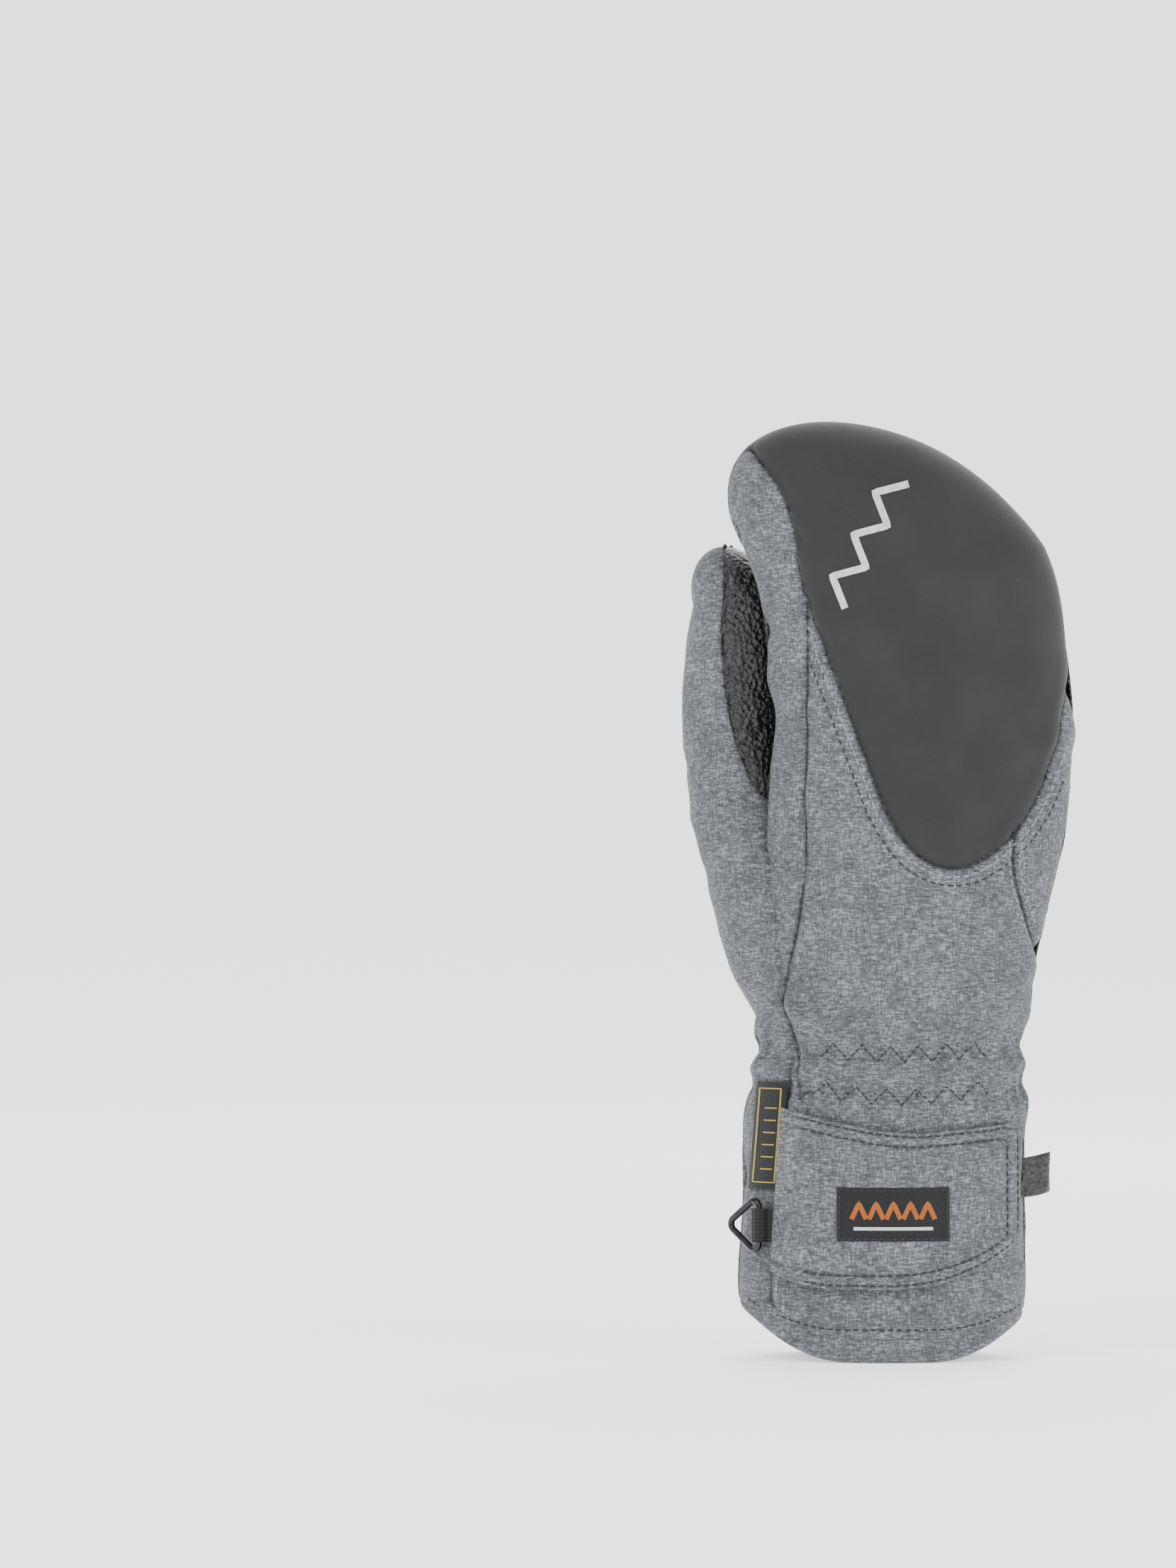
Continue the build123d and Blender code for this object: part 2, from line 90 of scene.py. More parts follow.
def makeCamera():
    # level with the mitten's middle; lens = sensor x distance / height of the view
    data = bpy.data.cameras.new("camera")
    data.sensor_width = 36
    data.lens = data.sensor_width * (room["cameraDistance"] - room["backDepth"]) / room["frameHeight"]
    data.clip_end = 20
    camera = bpy.data.objects.new("camera", data)
    camera.location = (room["aim"][0], -room["cameraDistance"], room["aim"][1])
    camera.rotation_euler = (math.pi / 2, 0, 0)
    bpy.context.collection.objects.link(camera)
    bpy.context.scene.camera = camera


def makeLight(name, place, target, size, watts):
    # a square soft light turned to its target
    data = bpy.data.lights.new(name, "AREA")
    data.shape = "SQUARE"
    data.size = size
    data.energy = watts
    light = bpy.data.objects.new(name, data)
    light.location = place
    aimAt(light, target)
    bpy.context.collection.objects.link(light)


makeCamera()
makeLight("keyLight", (-1.1, -1.5, 1.5), (0, 0, 0.16), 1.0, 30)
makeLight("fillLight", (1.5, -1.3, 0.8), (0, 0, 0.16), 1.4, 22)
makeLight("backLight", (0.3, 1.6, 1.5), (0, 0, 0.16), 1.2, 20)
world = bpy.data.worlds.new("room")
bpy.context.scene.world = world
world.use_nodes = True
world.node_tree.nodes["Background"].inputs["Color"].default_value = hexColour(room["light"])
world.node_tree.nodes["Background"].inputs["Strength"].default_value = 1.1


# materials
def addNode(tree, kind, settings=None, links=None):
    # one node, its settings by attribute or socket, and what feeds its sockets
    node = tree.nodes.new(kind)
    for key, value in (settings or {}).items():
        if isinstance(key, str) and hasattr(node, key):
            setattr(node, key, value)
        else:
            node.inputs[key].default_value = value
    for key, source in (links or {}).items():
        tree.links.new(source, node.inputs[key])
    return node


def newMaterial(name, roughness, sheen=0.0, metallic=0.0, coat=0.0, specular=0.5):
    # a material with its node tree and its shader, the shader's main shares set
    material = bpy.data.materials.new(name)
    material.use_nodes = True
    tree = material.node_tree
    shader = tree.nodes["Principled BSDF"]
    shader.inputs["Roughness"].default_value = roughness
    shader.inputs["Metallic"].default_value = metallic
    shader.inputs["Sheen Weight"].default_value = sheen
    shader.inputs["Sheen Roughness"].default_value = 0.5
    shader.inputs["Coat Weight"].default_value = coat
    shader.inputs["Specular IOR Level"].default_value = specular
    return material, tree, shader


def stretched(tree, x, y, z):
    # the object's own coordinates in units of that many metres along each axis
    coord = addNode(tree, "ShaderNodeTexCoord").outputs["Object"]
    node = addNode(tree, "ShaderNodeMapping", {"Scale": (1 / x, 1 / y, 1 / z)}, {"Vector": coord})
    return node.outputs["Vector"]


def texture(tree, kind, size, vector=None, output="Fac", **settings):
    # a pattern about size metres from blotch to blotch, or on given coordinates
    if vector is None:
        vector = addNode(tree, "ShaderNodeTexCoord").outputs["Object"]
    node = addNode(tree, f"ShaderNodeTex{kind}", {"Scale": 1 / size, **settings}, {"Vector": vector})
    return node.outputs[output]


def addShare(tree, first, share, second):
    # first x share + second
    node = addNode(tree, "ShaderNodeMath", {"operation": "MULTIPLY_ADD", 1: share}, {0: first, 2: second})
    return node.outputs["Value"]


def ramp(tree, source, stops, low=0.0, high=1.0):
    # colours laid along the source's value between low and high, stops as (value, hex)
    if (low, high) != (0.0, 1.0):
        source = addNode(tree, "ShaderNodeMapRange", {"From Min": low, "From Max": high},
                         {"Value": source}).outputs["Result"]
        stops = [((place - low) / (high - low), code) for place, code in stops]
    node = addNode(tree, "ShaderNodeValToRGB", links={"Fac": source})
    elements = node.color_ramp.elements
    while len(elements) < len(stops):
        elements.new(0.5)
    for element, (place, code) in zip(elements, stops):
        element.position = place
        element.color = hexColour(code)
    return node.outputs["Color"]


def bumpChain(tree, shader, layers):
    # each layer is (height output, depth in metres); later ones ride on the earlier
    normal = None
    for height, depth in layers:
        node = addNode(tree, "ShaderNodeBump", {"Strength": 1.0, "Distance": depth}, {"Height": height})
        if normal:
            tree.links.new(normal, node.inputs["Normal"])
        normal = node.outputs["Normal"]
    tree.links.new(normal, shader.inputs["Normal"])


def paintSeamShade(tree, colour):
    # painted shade down in a seam: the mesh's own seam value, 0 away from it to 1, mixes the colour towards a
    # near black
    seam = addNode(tree, "ShaderNodeAttribute", {"attribute_name": "seam"})
    share = addNode(tree, "ShaderNodeMath", {"operation": "MULTIPLY", 1: 0.72}, {0: seam.outputs["Fac"]})
    return addNode(tree, "ShaderNodeMix", {"data_type": "RGBA", 7: hexColour("#1A1C1D")},
                   {0: share.outputs["Value"], 6: colour}).outputs[2]


def makeMelange(name, dark, middle, light):
    # two-tone yarn in a fine plain weave: short weft flecks crossed by warp flecks, matt;
    # the flecks are drawn coarser than the yarn so that they show
    material, tree, shader = newMaterial(name, 0.88, sheen=0.08, specular=0.25)
    weft, warp = [texture(tree, "Noise", 1.0, stretched(tree, *sizes), Detail=3.0, Roughness=0.65)
                  for sizes in ((0.0026, 0.0026, 0.00055), (0.0006, 0.0006, 0.0021))]
    cloudy = texture(tree, "Noise", 0.011, Detail=3.0)
    mix = addShare(tree, cloudy, 0.22, addShare(tree, warp, 0.75, weft))
    colour = ramp(tree, mix, [(0.72, dark), (0.99, middle), (1.24, light)], 0.65, 1.35)
    # painted seam shade laid over the yarn's colour
    tree.links.new(paintSeamShade(tree, colour), shader.inputs["Base Color"])
    bumpChain(tree, shader, [(weft, 0.0003), (warp, 0.0002)])
    return material


def makeSoftshell():
    # bonded stretch softshell: smooth tight weave, matt charcoal with a faint bloom
    material, tree, shader = newMaterial("stretchSoftshell", 0.78, sheen=0.1, specular=0.35)
    weave = texture(tree, "Noise", 0.0005, Detail=2.0)
    mottle = texture(tree, "Noise", 0.022, Detail=3.0)
    colour = ramp(tree, addShare(tree, weave, 0.3, mottle), [(0.42, "#1B1D1D"), (0.85, "#232525")])
    # painted seam shade laid over the softshell's colour
    tree.links.new(paintSeamShade(tree, colour), shader.inputs["Base Color"])
    bumpChain(tree, shader, [(mottle, 0.0004), (weave, 0.00012)])
    return material


def makeLeather():
    # drum-dyed goatskin: pebbled grain drawn near 1.5 mm across so that it shows,
    # drawn-in creases, half gloss
    material, tree, shader = newMaterial("goatskin", 0.5, coat=0.12, specular=0.6)
    grain = texture(tree, "Voronoi", 0.0017, output="Distance", feature="SMOOTH_F1", Smoothness=0.35)
    fine = texture(tree, "Voronoi", 0.0008, output="Distance", feature="F1")
    crease = texture(tree, "Noise", 1.0, stretched(tree, 0.009, 0.009, 0.0035), Detail=4.0, Roughness=0.62,
                     Distortion=0.6)
    colour = ramp(tree, crease, [(0.3, "#0B0D0C"), (0.6, "#161918"), (0.8, "#222624")])
    # painted seam shade laid over the leather's colour
    tree.links.new(paintSeamShade(tree, colour), shader.inputs["Base Color"])
    span = {"From Min": 0.3, "From Max": 0.7, "To Min": 0.34, "To Max": 0.58}
    gloss = addNode(tree, "ShaderNodeMapRange", span, {"Value": crease})
    tree.links.new(gloss.outputs["Result"], shader.inputs["Roughness"])
    bumpChain(tree, shader, [(crease, 0.0028), (grain, 0.0013), (fine, 0.0002)])
    return material


def colourAndRaise(made, source, stops, depth):
    # the source gives both the colour and the height
    material, tree, shader = made
    tree.links.new(ramp(tree, source, stops), shader.inputs["Base Color"])
    bumpChain(tree, shader, [(source, depth)])
    return material


def makeFleece():
    # brushed polyester fleece: short tangled pile that drinks the light
    made = newMaterial("brushedFleece", 0.95, sheen=0.5, specular=0.15)
    pile = texture(made[1], "Noise", 0.0016, Detail=5.0, Roughness=0.75)
    return colourAndRaise(made, pile, [(0.35, "#141516"), (0.75, "#303234")], 0.0012)


def makeWoven(name, dark, light, pitch, roughness=0.75, depth=0.0002):
    # narrow tape: warp ribs one thread apart crossed by weft ribs of half the depth;
    # a wave texture of scale 1 repeats every 0.314 metres
    made = newMaterial(name, roughness, sheen=0.1, specular=0.35)
    warp, weft = [texture(made[1], "Wave", pitch / 0.314, bands_direction=axis, Distortion=0.6)
                  for axis in "ZX"]
    return colourAndRaise(made, addShare(made[1], weft, 0.5, warp), [(0.2, dark), (1.0, light)], depth)


def makePlain(name, dark, light, roughness, size, depth, metallic=0.0, coat=0.0, sheen=0.0):
    # an even material with slight mottling and a fine surface
    made = newMaterial(name, roughness, sheen=sheen, metallic=metallic, coat=coat)
    mottle = texture(made[1], "Noise", size, Detail=3.0)
    return colourAndRaise(made, mottle, [(0.35, dark), (0.7, light)], depth)


melange = makeMelange("melangePolyester", "#36383B", "#54575B", "#8B8E92")
softshell = makeSoftshell()
leather = makeLeather()
fleece = makeFleece()
labelCloth = makeWoven("damaskLabel", "#070809", "#17181A", 0.0007)
webbing = makeWoven("webbing", "#08090A", "#1C1E20", 0.0012, depth=0.0004)
hookTape = makeWoven("hookAndLoopTape", "#0B0B0C", "#202122", 0.0011, 0.9, 0.0006)
elasticTape = makeWoven("knittedElastic", "#1A1B1C", "#3A3B3C", 0.0010)
threadLight = makeWoven("polyesterThreadGrey", "#7B8086", "#A3A8AE", 0.0004)
threadDark = makeWoven("polyesterThreadCharcoal", "#1A1B1D", "#2C2E31", 0.0004)
threadOrange = makeWoven("polyesterThreadOrange", "#7E3E10", "#C06A20", 0.0004)
threadYellow = makeWoven("polyesterThreadYellow", "#8A7A2A", "#C2AE4A", 0.0004)
threadWhite = makeWoven("polyesterThreadWhite", "#B9BCBC", "#E6E8E8", 0.0004)
gunmetal = makePlain("gunmetalPlate", "#1B1C1E", "#2C2E31", 0.22, 0.004, 0.00002, metallic=0.9, coat=0.4)
rubberPrint = makePlain("softTransferPrint", "#A9ADAD", "#C3C6C6", 0.5, 0.002, 0.00008)
wadding = makePlain("polyesterWadding", "#C9C9C4", "#EEEEE8", 0.95, 0.004, 0.0015, sheen=0.4)
film = makePlain("membraneFilm", "#B4BABB", "#CDD2D3", 0.35, 0.01, 0.0002)
print("materials made")


# drawing in the front view
def smoothLine(points, step=1.6):
    # Catmull-Rom curve through the points, sampled about one step apart
    p = np.array(points, float)
    p = np.vstack([2 * p[0] - p[1], p, 2 * p[-1] - p[-2]])
    out = []
    for a, b, c, d in zip(p[:-3], p[1:-2], p[2:-1], p[3:]):
        count = max(2, int(np.linalg.norm(c - b) / step))
        t = np.arange(count)[:, None] / count
        out.append(0.5 * (2 * b + (c - a) * t + (2 * a - 5 * b + 4 * c - d) * t**2
                          + (3 * b - a - 3 * c + d) * t**3))
    return np.vstack([*out, p[-2][None]])


def lineDistance(x, z, line):
    # least distance from each point to the line's segments
    best = np.full(x.shape, 1e9)
    for (ax, az), (bx, bz) in zip(line[:-1], line[1:]):
        dx, dz = bx - ax, bz - az
        t = np.clip(((x - ax) * dx + (z - az) * dz) / (dx * dx + dz * dz + 1e-12), 0, 1)
        best = np.minimum(best, np.hypot(x - ax - t * dx, z - az - t * dz))
    return best


def inside(x, z, outline):
    # odd number of crossings to the right
    odd = np.zeros(x.shape, bool)
    for (ax, az), (bx, bz) in zip(outline, np.roll(outline, -1, axis=0)):
        if az != bz:
            crosses = (az > z) != (bz > z)
            odd ^= crosses & (x < ax + (z - az) * (bx - ax) / (bz - az))
    return odd


def curveThrough(at, places, values):
    # cubic pieces through the values, with slopes from the neighbours
    places, values = np.array(places, float), np.array(values, float)
    slope = np.gradient(values, places)
    i = np.clip(np.searchsorted(places, at) - 1, 0, len(places) - 2)
    h = places[i + 1] - places[i]
    t = np.clip((at - places[i]) / h, 0, 1)
    return ((1 + 2 * t) * (1 - t) ** 2 * values[i] + t * (1 - t) ** 2 * h * slope[i]
            + t * t * (3 - 2 * t) * values[i + 1] + t * t * (t - 1) * h * slope[i + 1])


# the hand and cuff
handShape = {
    "top": 309.6,
    "domeStart": 268.0,
    "stations": [  # height, thumb side, outer side, half depth, towards the palm
        (0, -45.5, 47.6, 32.0, 0), (24, -45.8, 47.9, 31.8, 0), (52, -44.4, 47.6, 31.2, 0),
        (72, -44.4, 47.5, 30.6, 0), (86, -43.0, 47.8, 29.8, 0), (100, -40.6, 46.2, 28.4, 0),
        (108, -39.8, 46.8, 28.2, 0), (115, -39.2, 49.4, 28.3, 0.1), (128, -38.4, 51.2, 28.5, 0.2),
        (142, -38.4, 54.4, 28.5, 0.4), (156, -38.6, 57.5, 28.5, 0.7), (170, -38.6, 60.4, 28.5, 1.0),
        (184, -37.4, 62.8, 28.4, 1.5), (198, -35.2, 63.8, 28.0, 2.0), (212, -33.8, 64.2, 27.6, 2.6),
        (226, -35.6, 63.0, 27.1, 3.3), (240, -37.2, 61.6, 26.6, 4.0), (254, -39.4, 58.8, 25.9, 4.8),
        (268, -44.2, 53.6, 25.0, 5.8),
    ],
    "domeLean": 21.6,
    "leanPower": 0.93,
    "domeTowards": 3.2,
    "cuffTop": 99.5,
    "hemLift": 13.0,
    "hemFlat": 15.0,  # half the stretch that it stands on
    "hemCentre": 3.0,
    "hemReach": 31.0,  # past the flat, where the hem is at its full lift
    "hemFade": 60.0,
    "cloth": 0.9,
}


def tubeOval(shape, z):
    # middle and half sizes of a tube's oval at each height; over the dome's start
    # they shrink as a quarter circle and lean to the thumb side
    start, top = shape["domeStart"], shape["top"]
    places, left, right, depth, towards = np.array(shape["stations"], float).T
    low = np.minimum(z, start)
    rise = np.clip((z - start) / (top - start), 0, 1)
    shrink = np.sqrt(1 - rise**2)
    a, b = curveThrough(low, places, left), curveThrough(low, places, right)
    centreX = (a + b) / 2 - shape["domeLean"] * rise ** shape["leanPower"]
    centreY = curveThrough(low, places, towards) + shape["domeTowards"] * rise
    return centreX, centreY, (b - a) / 2 * shrink, curveThrough(low, places, depth) * shrink


def hemRise(x, z):
    # the hem climbs with the square of the distance past its flat, fading out above
    past = np.maximum(np.abs(x - handShape["hemCentre"]) - handShape["hemFlat"], 0)
    fade = np.clip(1 - z / handShape["hemFade"], 0, 1)
    return handShape["hemLift"] * (past / handShape["hemReach"]) ** 2 * fade**2


folds = {
    "back": [  # from, to (side, height), width, height: soft creases of the cloth
        ((-30, 116), (-8, 101), 3.2, 1.3), ((-38, 164), (-22, 162), 3.0, -0.7),
        ((-48, 274), (-28, 270), 3.5, -1.0), ((-38, 241), (-20, 236), 3.5, -0.9),
        ((-38, 226), (-26, 214), 4.0, 0.7), ((-25, 185), (-8, 176), 6.0, 0.6),
        ((30, 118), (47, 128), 4.5, 0.9), ((12, 110), (34, 116), 4.0, -0.7),
        ((-26, 128), (-6, 118), 5.0, -0.8), ((14, 250), (48, 262), 12.0, 0.9),
        ((38, 196), (62, 206), 5.0, 0.6), ((-44, 60), (-36, 70), 4.0, -0.6),
    ],
    "palm": [
        ((-26, 238), (22, 226), 4.0, -1.1), ((-20, 226), (40, 214), 5.0, 0.9),
        ((0, 216), (56, 232), 3.6, -0.9), ((20, 250), (58, 240), 4.5, -0.8),
        ((-24, 262), (10, 252), 4.0, -0.8), ((-10, 196), (38, 184), 4.0, -1.1),
        ((6, 178), (54, 172), 5.0, 0.8), ((22, 160), (56, 184), 3.4, -0.9),
        ((0, 134), (44, 126), 4.5, -0.8), ((-6, 118), (40, 112), 4.0, 0.9),
        ((-24, 60), (20, 52), 6.0, -0.7), ((4, 30), (40, 44), 6.0, 0.6),
    ],
}

seams = {
    "knuckle": [(-47, 309), (-40, 297), (-33, 287), (-29, 275), (-26.5, 258), (-21.5, 241), (-12, 216),
                (-4.7, 196), (1, 181), (7, 171), (13, 165), (20, 162), (28, 162), (36, 166), (45, 174),
                (52.5, 185.5), (57.7, 199), (61.5, 213), (66, 230)],
    "gusset": [(-24.4, 250), (-24.4, 213), (-25, 188), (-25, 164), (-27.5, 143), (-30.5, 131), (-32.5, 120)],
    "crotch": [(-37.5, 192), (-38.2, 180), (-38.6, 161), (-37.6, 142), (-35.6, 129), (-32.5, 120),
               (-29, 108), (-27.4, 96), (-27, 86)],
    "outer": [(45, 174), (44, 166), (45, 157.5), (47.5, 149), (51, 139), (56, 128)],
    "tip": [(72, 244), (62, 262), (48, 281.5), (32, 290), (17, 293.5), (3, 294), (-11, 291.5), (-23, 285),
            (-34, 276), (-42, 266), (-50, 246)],
    "band": [(90, 188), (58, 193.7), (29, 203), (10, 205.8), (-18, 208.5), (-45, 211)],
    "heel": [(90, 142), (51, 143.7), (35, 143), (21, 148.4), (3, 160.2), (-15, 172.3), (-22, 176),
             (-45, 190)],
    "cuff": [(-80, 99.5), (80, 99.5)],
    "thumbLeather": [(-9, 99), (-10, 111.5), (-9.5, 126), (-10, 140), (-14.7, 158), (-23, 171), (-36, 184)],
    "thumbGrey": [(-8, 99), (-11, 112.7), (-19.4, 129), (-25.6, 148.4), (-29.6, 158), (-38.6, 179.4),
                  (-44, 190)],
    "side": [(-29.5, 99.5), (-31, 84), (-33, 56), (-36.5, 28), (-37, 0)],
}
seamLines = {name: smoothLine(points) for name, points in seams.items()}
backSeams = ["knuckle", "gusset", "crotch", "outer", "side"]
palmSeams = ["tip", "band", "heel", "cuff", "thumbLeather", "thumbGrey"]
far = 400.0


def closed(name, *corners):
    # a seam's line closed by far corners
    return np.vstack([seamLines[name], np.array(corners, float)])


zones = {
    "knuckle": closed("knuckle", (far, 230), (far, far), (-60, far)),
    "gusset": closed("gusset", (-far, 100), (-far, far), (-24.4, far)),
    "crotch": closed("crotch", (-far, 86), (-far, 192)),
    "outer": closed("outer", (far, 128), (far, 300), (45, 300)),
    "tip": closed("tip", (-far, 246), (-far, far), (far, far), (far, 244)),
    "band": closed("band", (-far, 211), (-far, far), (far, far), (far, 188)),
    "heel": closed("heel", (-far, 190), (-far, -far), (far, -far), (far, 142)),
    "thumbLeather": closed("thumbLeather", (-far, 184), (-far, 99)),
    "thumbGrey": closed("thumbGrey", (-far, 190), (-far, 99)),
}

cloudWaves = rng.normal(size=(9, 3)) * np.array([1 / 42, 1 / 42, 1 / 42]) * 2 * math.pi / 2.2
cloudPhase = rng.uniform(0, 2 * math.pi, 9)


def cloud(x, y, z, stretch=1.0):
    # slow waves of the cloth: nine sine waves in seeded directions, added
    total = 0
    for (kx, ky, kz), phase in zip(cloudWaves, cloudPhase):
        total = total + np.sin((kx * x + ky * y + kz * z) * stretch + phase)
    return total / 9


def foldRelief(x, z, creases):
    # each fold is a bell across its line, tapering off past its ends
    total = np.zeros(x.shape)
    for start, end, width, height in creases:
        d = lineDistance(x, z, [start, end])
        total += height * np.exp(-(d / width) ** 2)
    return total


work = {  # relief in millimetres
    "wave": 0.55, "ripple": 0.22, "fold": 1.9, "puff": 1.3, "puffWidth": 11.0, "seam": 1.0,
    "seamWidth": 1.1, "roll": 0.5, "lightRoll": 0.25, "deepest": -1.5,
    "topstitched": ("knuckle", "outer", "band", "heel", "tip"),
    "gather": 0.75, "gatherPitch": 9.2, "pucker": 0.3, "puckerPitch": 5.3,
    "wristRolls": [  # height, share of the wander, width, relief
        (101.5, 0.8, 2.6, -1.1), (94.5, 0.8, 2.8, 1.2), (88.0, 0.8, 2.6, -1.1), (111.0, 1.0, 4.5, 1.0),
        (80.0, 1.0, 4.0, 0.6),
    ],
    "underStrap": (28, 72, -8),  # bottom, top and thumb side of what the strap presses flat
}


def bell(distance, width):
    # e to the minus square of the distance in widths
    return np.exp(-(distance / width) ** 2)


def handRelief(x, y, z, angle):
    # seams sink in and roll up beside the stitching, panels puff, the wrist gathers
    back = np.sin(angle) >= 0
    relief = work["wave"] * cloud(x, y, z) + work["ripple"] * cloud(z, x, y, 2.4)
    for side, names, which in ((back, backSeams, "back"), (~back, palmSeams, "palm")):
        xs, zs = x[side], z[side]
        local = work["fold"] * foldRelief(xs, zs, folds[which])
        nearest = np.full(xs.shape, 1e9)
        for name in names:
            d = lineDistance(xs, zs, seamLines[name][::2])
            nearest = np.minimum(nearest, d)
            rolled = work["roll"] if name in work["topstitched"] else work["lightRoll"]
            local += rolled * bell(d - 3.6, 2.4) - work["seam"] * bell(d, work["seamWidth"])
        local += work["puff"] * (1 - np.exp(-nearest / work["puffWidth"])) - 0.6
        relief[side] += local
    around = np.arctan2(y, x) * 2 * math.pi * 40
    wander = 5 * cloud(x, y, z, 2)
    gather = work["gather"] * np.sin(around / work["gatherPitch"] + wander)
    gather += work["pucker"] * np.sin(around / work["puckerPitch"] + 2 * wander)
    relief += gather * np.maximum(bell(z - 102, 7.0), bell(z - 88, 6.0))
    for height, share, width, amount in work["wristRolls"]:
        relief += amount * bell(z - height - share * wander, width)
    relief *= np.clip((z - 2) / 12, 0.15, 1)
    bottom, top, side = work["underStrap"]
    pressed = back & (z > bottom) & (z < top) & (x > side)
    relief = np.where(pressed, np.minimum(relief, 0.1), relief)
    return np.maximum(relief, work["deepest"]) * np.clip((handShape["top"] - z) / 9, 0, 1)


def seamShade(x, z, back):
    # painted shade along the seams: 1 on a seam, falling to 0 within a millimetre
    shade = np.zeros(x.shape)
    for side, names in ((back, backSeams), (~back, palmSeams)):
        for name in names:
            d = lineDistance(x[side], z[side], seamLines[name])
            shade[side] = np.maximum(shade[side], bell(d, 0.55))
    return shade


def tubePoint(shape, angle, z, out=0.0, relief=None):
    # a point on the tube's oval at that angle (0 outer side, quarter turn back of the hand),
    # moved along the outward normal by the relief and by the distance out
    cx, cy, a, b = tubeOval(shape, z)
    cosine, sine = np.cos(angle), np.sin(angle)
    x, y = cx + a * cosine, cy - b * sine
    normal = np.stack([cosine * b, -sine * a, 0 * cosine], axis=-1)
    lean = np.clip((z - shape["domeStart"]) / (shape["top"] - shape["domeStart"]), 0, 0.999)
    flat = np.hypot(normal[..., 0], normal[..., 1])
    normal[..., 2] = flat * lean / np.sqrt(1 - lean**2) * 0.9 + 1e-9
    normal /= np.linalg.norm(normal, axis=-1)[..., None]
    height = relief(x, y, z, angle) if relief else 0.0
    point = np.stack([x, y, z + hemRise(x, z)], axis=-1)
    return point + normal * np.asarray(height + out)[..., None], normal


def seenAngle(shape, x, z, back):
    # the angle on the oval at a side and height, on the back of the hand or on the palm
    cx, _, a, _ = tubeOval(shape, z)
    angle = np.arccos(np.clip((x - cx) / a, -0.9999, 0.9999))
    return angle if back else 2 * math.pi - angle


def sideAt(shape, angle, z):
    # how far to the side a point at that angle and height lies
    cx, _, a, _ = tubeOval(shape, z)
    return cx + a * np.cos(angle)


def onHand(x, z, back=True, out=0.0, worked=True):
    # the hand's surface at a side and height, with its relief or plain
    x, z = np.asarray(x, float), np.asarray(z, float)
    return tubePoint(handShape, seenAngle(handShape, x, z, back), z, out, handRelief if worked else None)


# meshes
def toFrame(points):
    # drawing millimetres to metres in the shared frame
    moved = np.asarray(points, float) + np.array([drawing["side"], drawing["depth"], 0])
    return moved * mm


def buildMesh(name, points, faces, material, smooth=True):
    # only the points that faces use, set as whole arrays
    faces = np.asarray(faces, np.int32)
    count, corners = faces.shape
    used, flat = np.unique(faces.ravel(), return_inverse=True)
    vertices = toFrame(np.asarray(points).reshape(-1, 3)[used])
    mesh = bpy.data.meshes.new(name)
    mesh.vertices.add(len(used))
    mesh.vertices.foreach_set("co", vertices.ravel())
    mesh.loops.add(count * corners)
    mesh.loops.foreach_set("vertex_index", flat.astype(np.int32))
    mesh.polygons.add(count)
    mesh.polygons.foreach_set("loop_start", np.arange(0, count * corners, corners, dtype=np.int32))
    mesh.polygons.foreach_set("use_smooth", np.full(count, smooth))
    mesh.update(calc_edges=True)
    mesh.materials.append(material)
    obj = bpy.data.objects.new(name, mesh)
    bpy.context.collection.objects.link(obj)
    return obj


def setSeamShade(obj, values, faces):
    # the painted seam shade of each point, in the order in which buildMesh keeps them
    layer = obj.data.attributes.new("seam", "FLOAT", "POINT")
    layer.data.foreach_set("value", values.ravel()[np.unique(faces.ravel())].astype(np.float32))


def addWall(obj, thickness, offset=-1.0):
    # thickness inwards from the drawn surface
    wall = obj.modifiers.new("wall", "SOLIDIFY")
    wall.thickness = thickness * mm
    wall.offset = offset
    wall.use_even_offset = False


def gridFaces(rows, columns, wrap=False):
    # quads of a grid, corners in order; wrap joins the last column to the first
    i, j = np.meshgrid(np.arange(rows - 1), np.arange(columns - (0 if wrap else 1)), indexing="ij")
    low, high, after = i * columns, (i + 1) * columns, (j + 1) % columns
    return np.stack([low + j, low + after, high + after, high + j], -1).reshape(-1, 4)


def levels(low, high, step):
    # even heights, about one step apart
    return np.linspace(low, high, max(2, int((high - low) / step) + 1))


def domeHeights(shape, count):
    # heights over the dome: its rise x sine of even angles, just short of the pole
    start, top = shape["domeStart"], shape["top"]
    heights = start + (top - start) * np.sin(np.linspace(0, math.pi / 2, count)[1:])
    heights[-1] -= 0.004
    return heights


def snapGrid(angle, z, shape, lines, cell, radius):
    # slide grid points that lie within half a cell of a seam onto it, so that panels
    # part along smooth lines; each point slides once
    free = np.ones(z.shape, bool)
    for line, zone, allowed in lines:
        x = sideAt(shape, angle, z)
        d = lineDistance(x, z, line)
        near = (d < 1.2 * cell) & allowed & free
        signed = np.where(inside(x, z, zone), d, -d)
        fa = np.gradient(signed, axis=1) / np.gradient(angle, axis=1) / radius
        fz = np.gradient(signed, axis=0) / np.gradient(z, axis=0)
        size = fa**2 + fz**2 + 1e-9
        stepA, stepZ = -signed * fa / size, -signed * fz / size
        slide = near & (np.abs(stepA) < 0.6 * cell) & (np.abs(stepZ) < 0.6 * cell)
        angle = np.where(slide, angle + stepA / radius, angle)
        z = np.where(slide, z + stepZ, z)
        free &= ~slide
    return angle, z, ~free


def splitQuads(rows, columns, pinned):
    # triangles, cut along the diagonal whose two corners lie on a seam
    quads = gridFaces(rows, columns)
    held = pinned.ravel()[quads]
    other = held[:, 1] & held[:, 3]
    a, b, c, d = quads.T
    first = np.where(other[:, None], np.stack([a, b, d], -1), np.stack([a, b, c], -1))
    second = np.where(other[:, None], np.stack([b, c, d], -1), np.stack([a, c, d], -1))
    return np.vstack([first, second])


def rideAndReplace(obj, body, replaced=()):
    # the piece moves with its body and stands for the nodes that it replaces
    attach(obj, body)
    if replaced:
        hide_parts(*replaced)


# skin of the hand and cuff
skin = {"cell": 0.95, "columns": 330, "hemEdge": 8.0, "radius": 45}


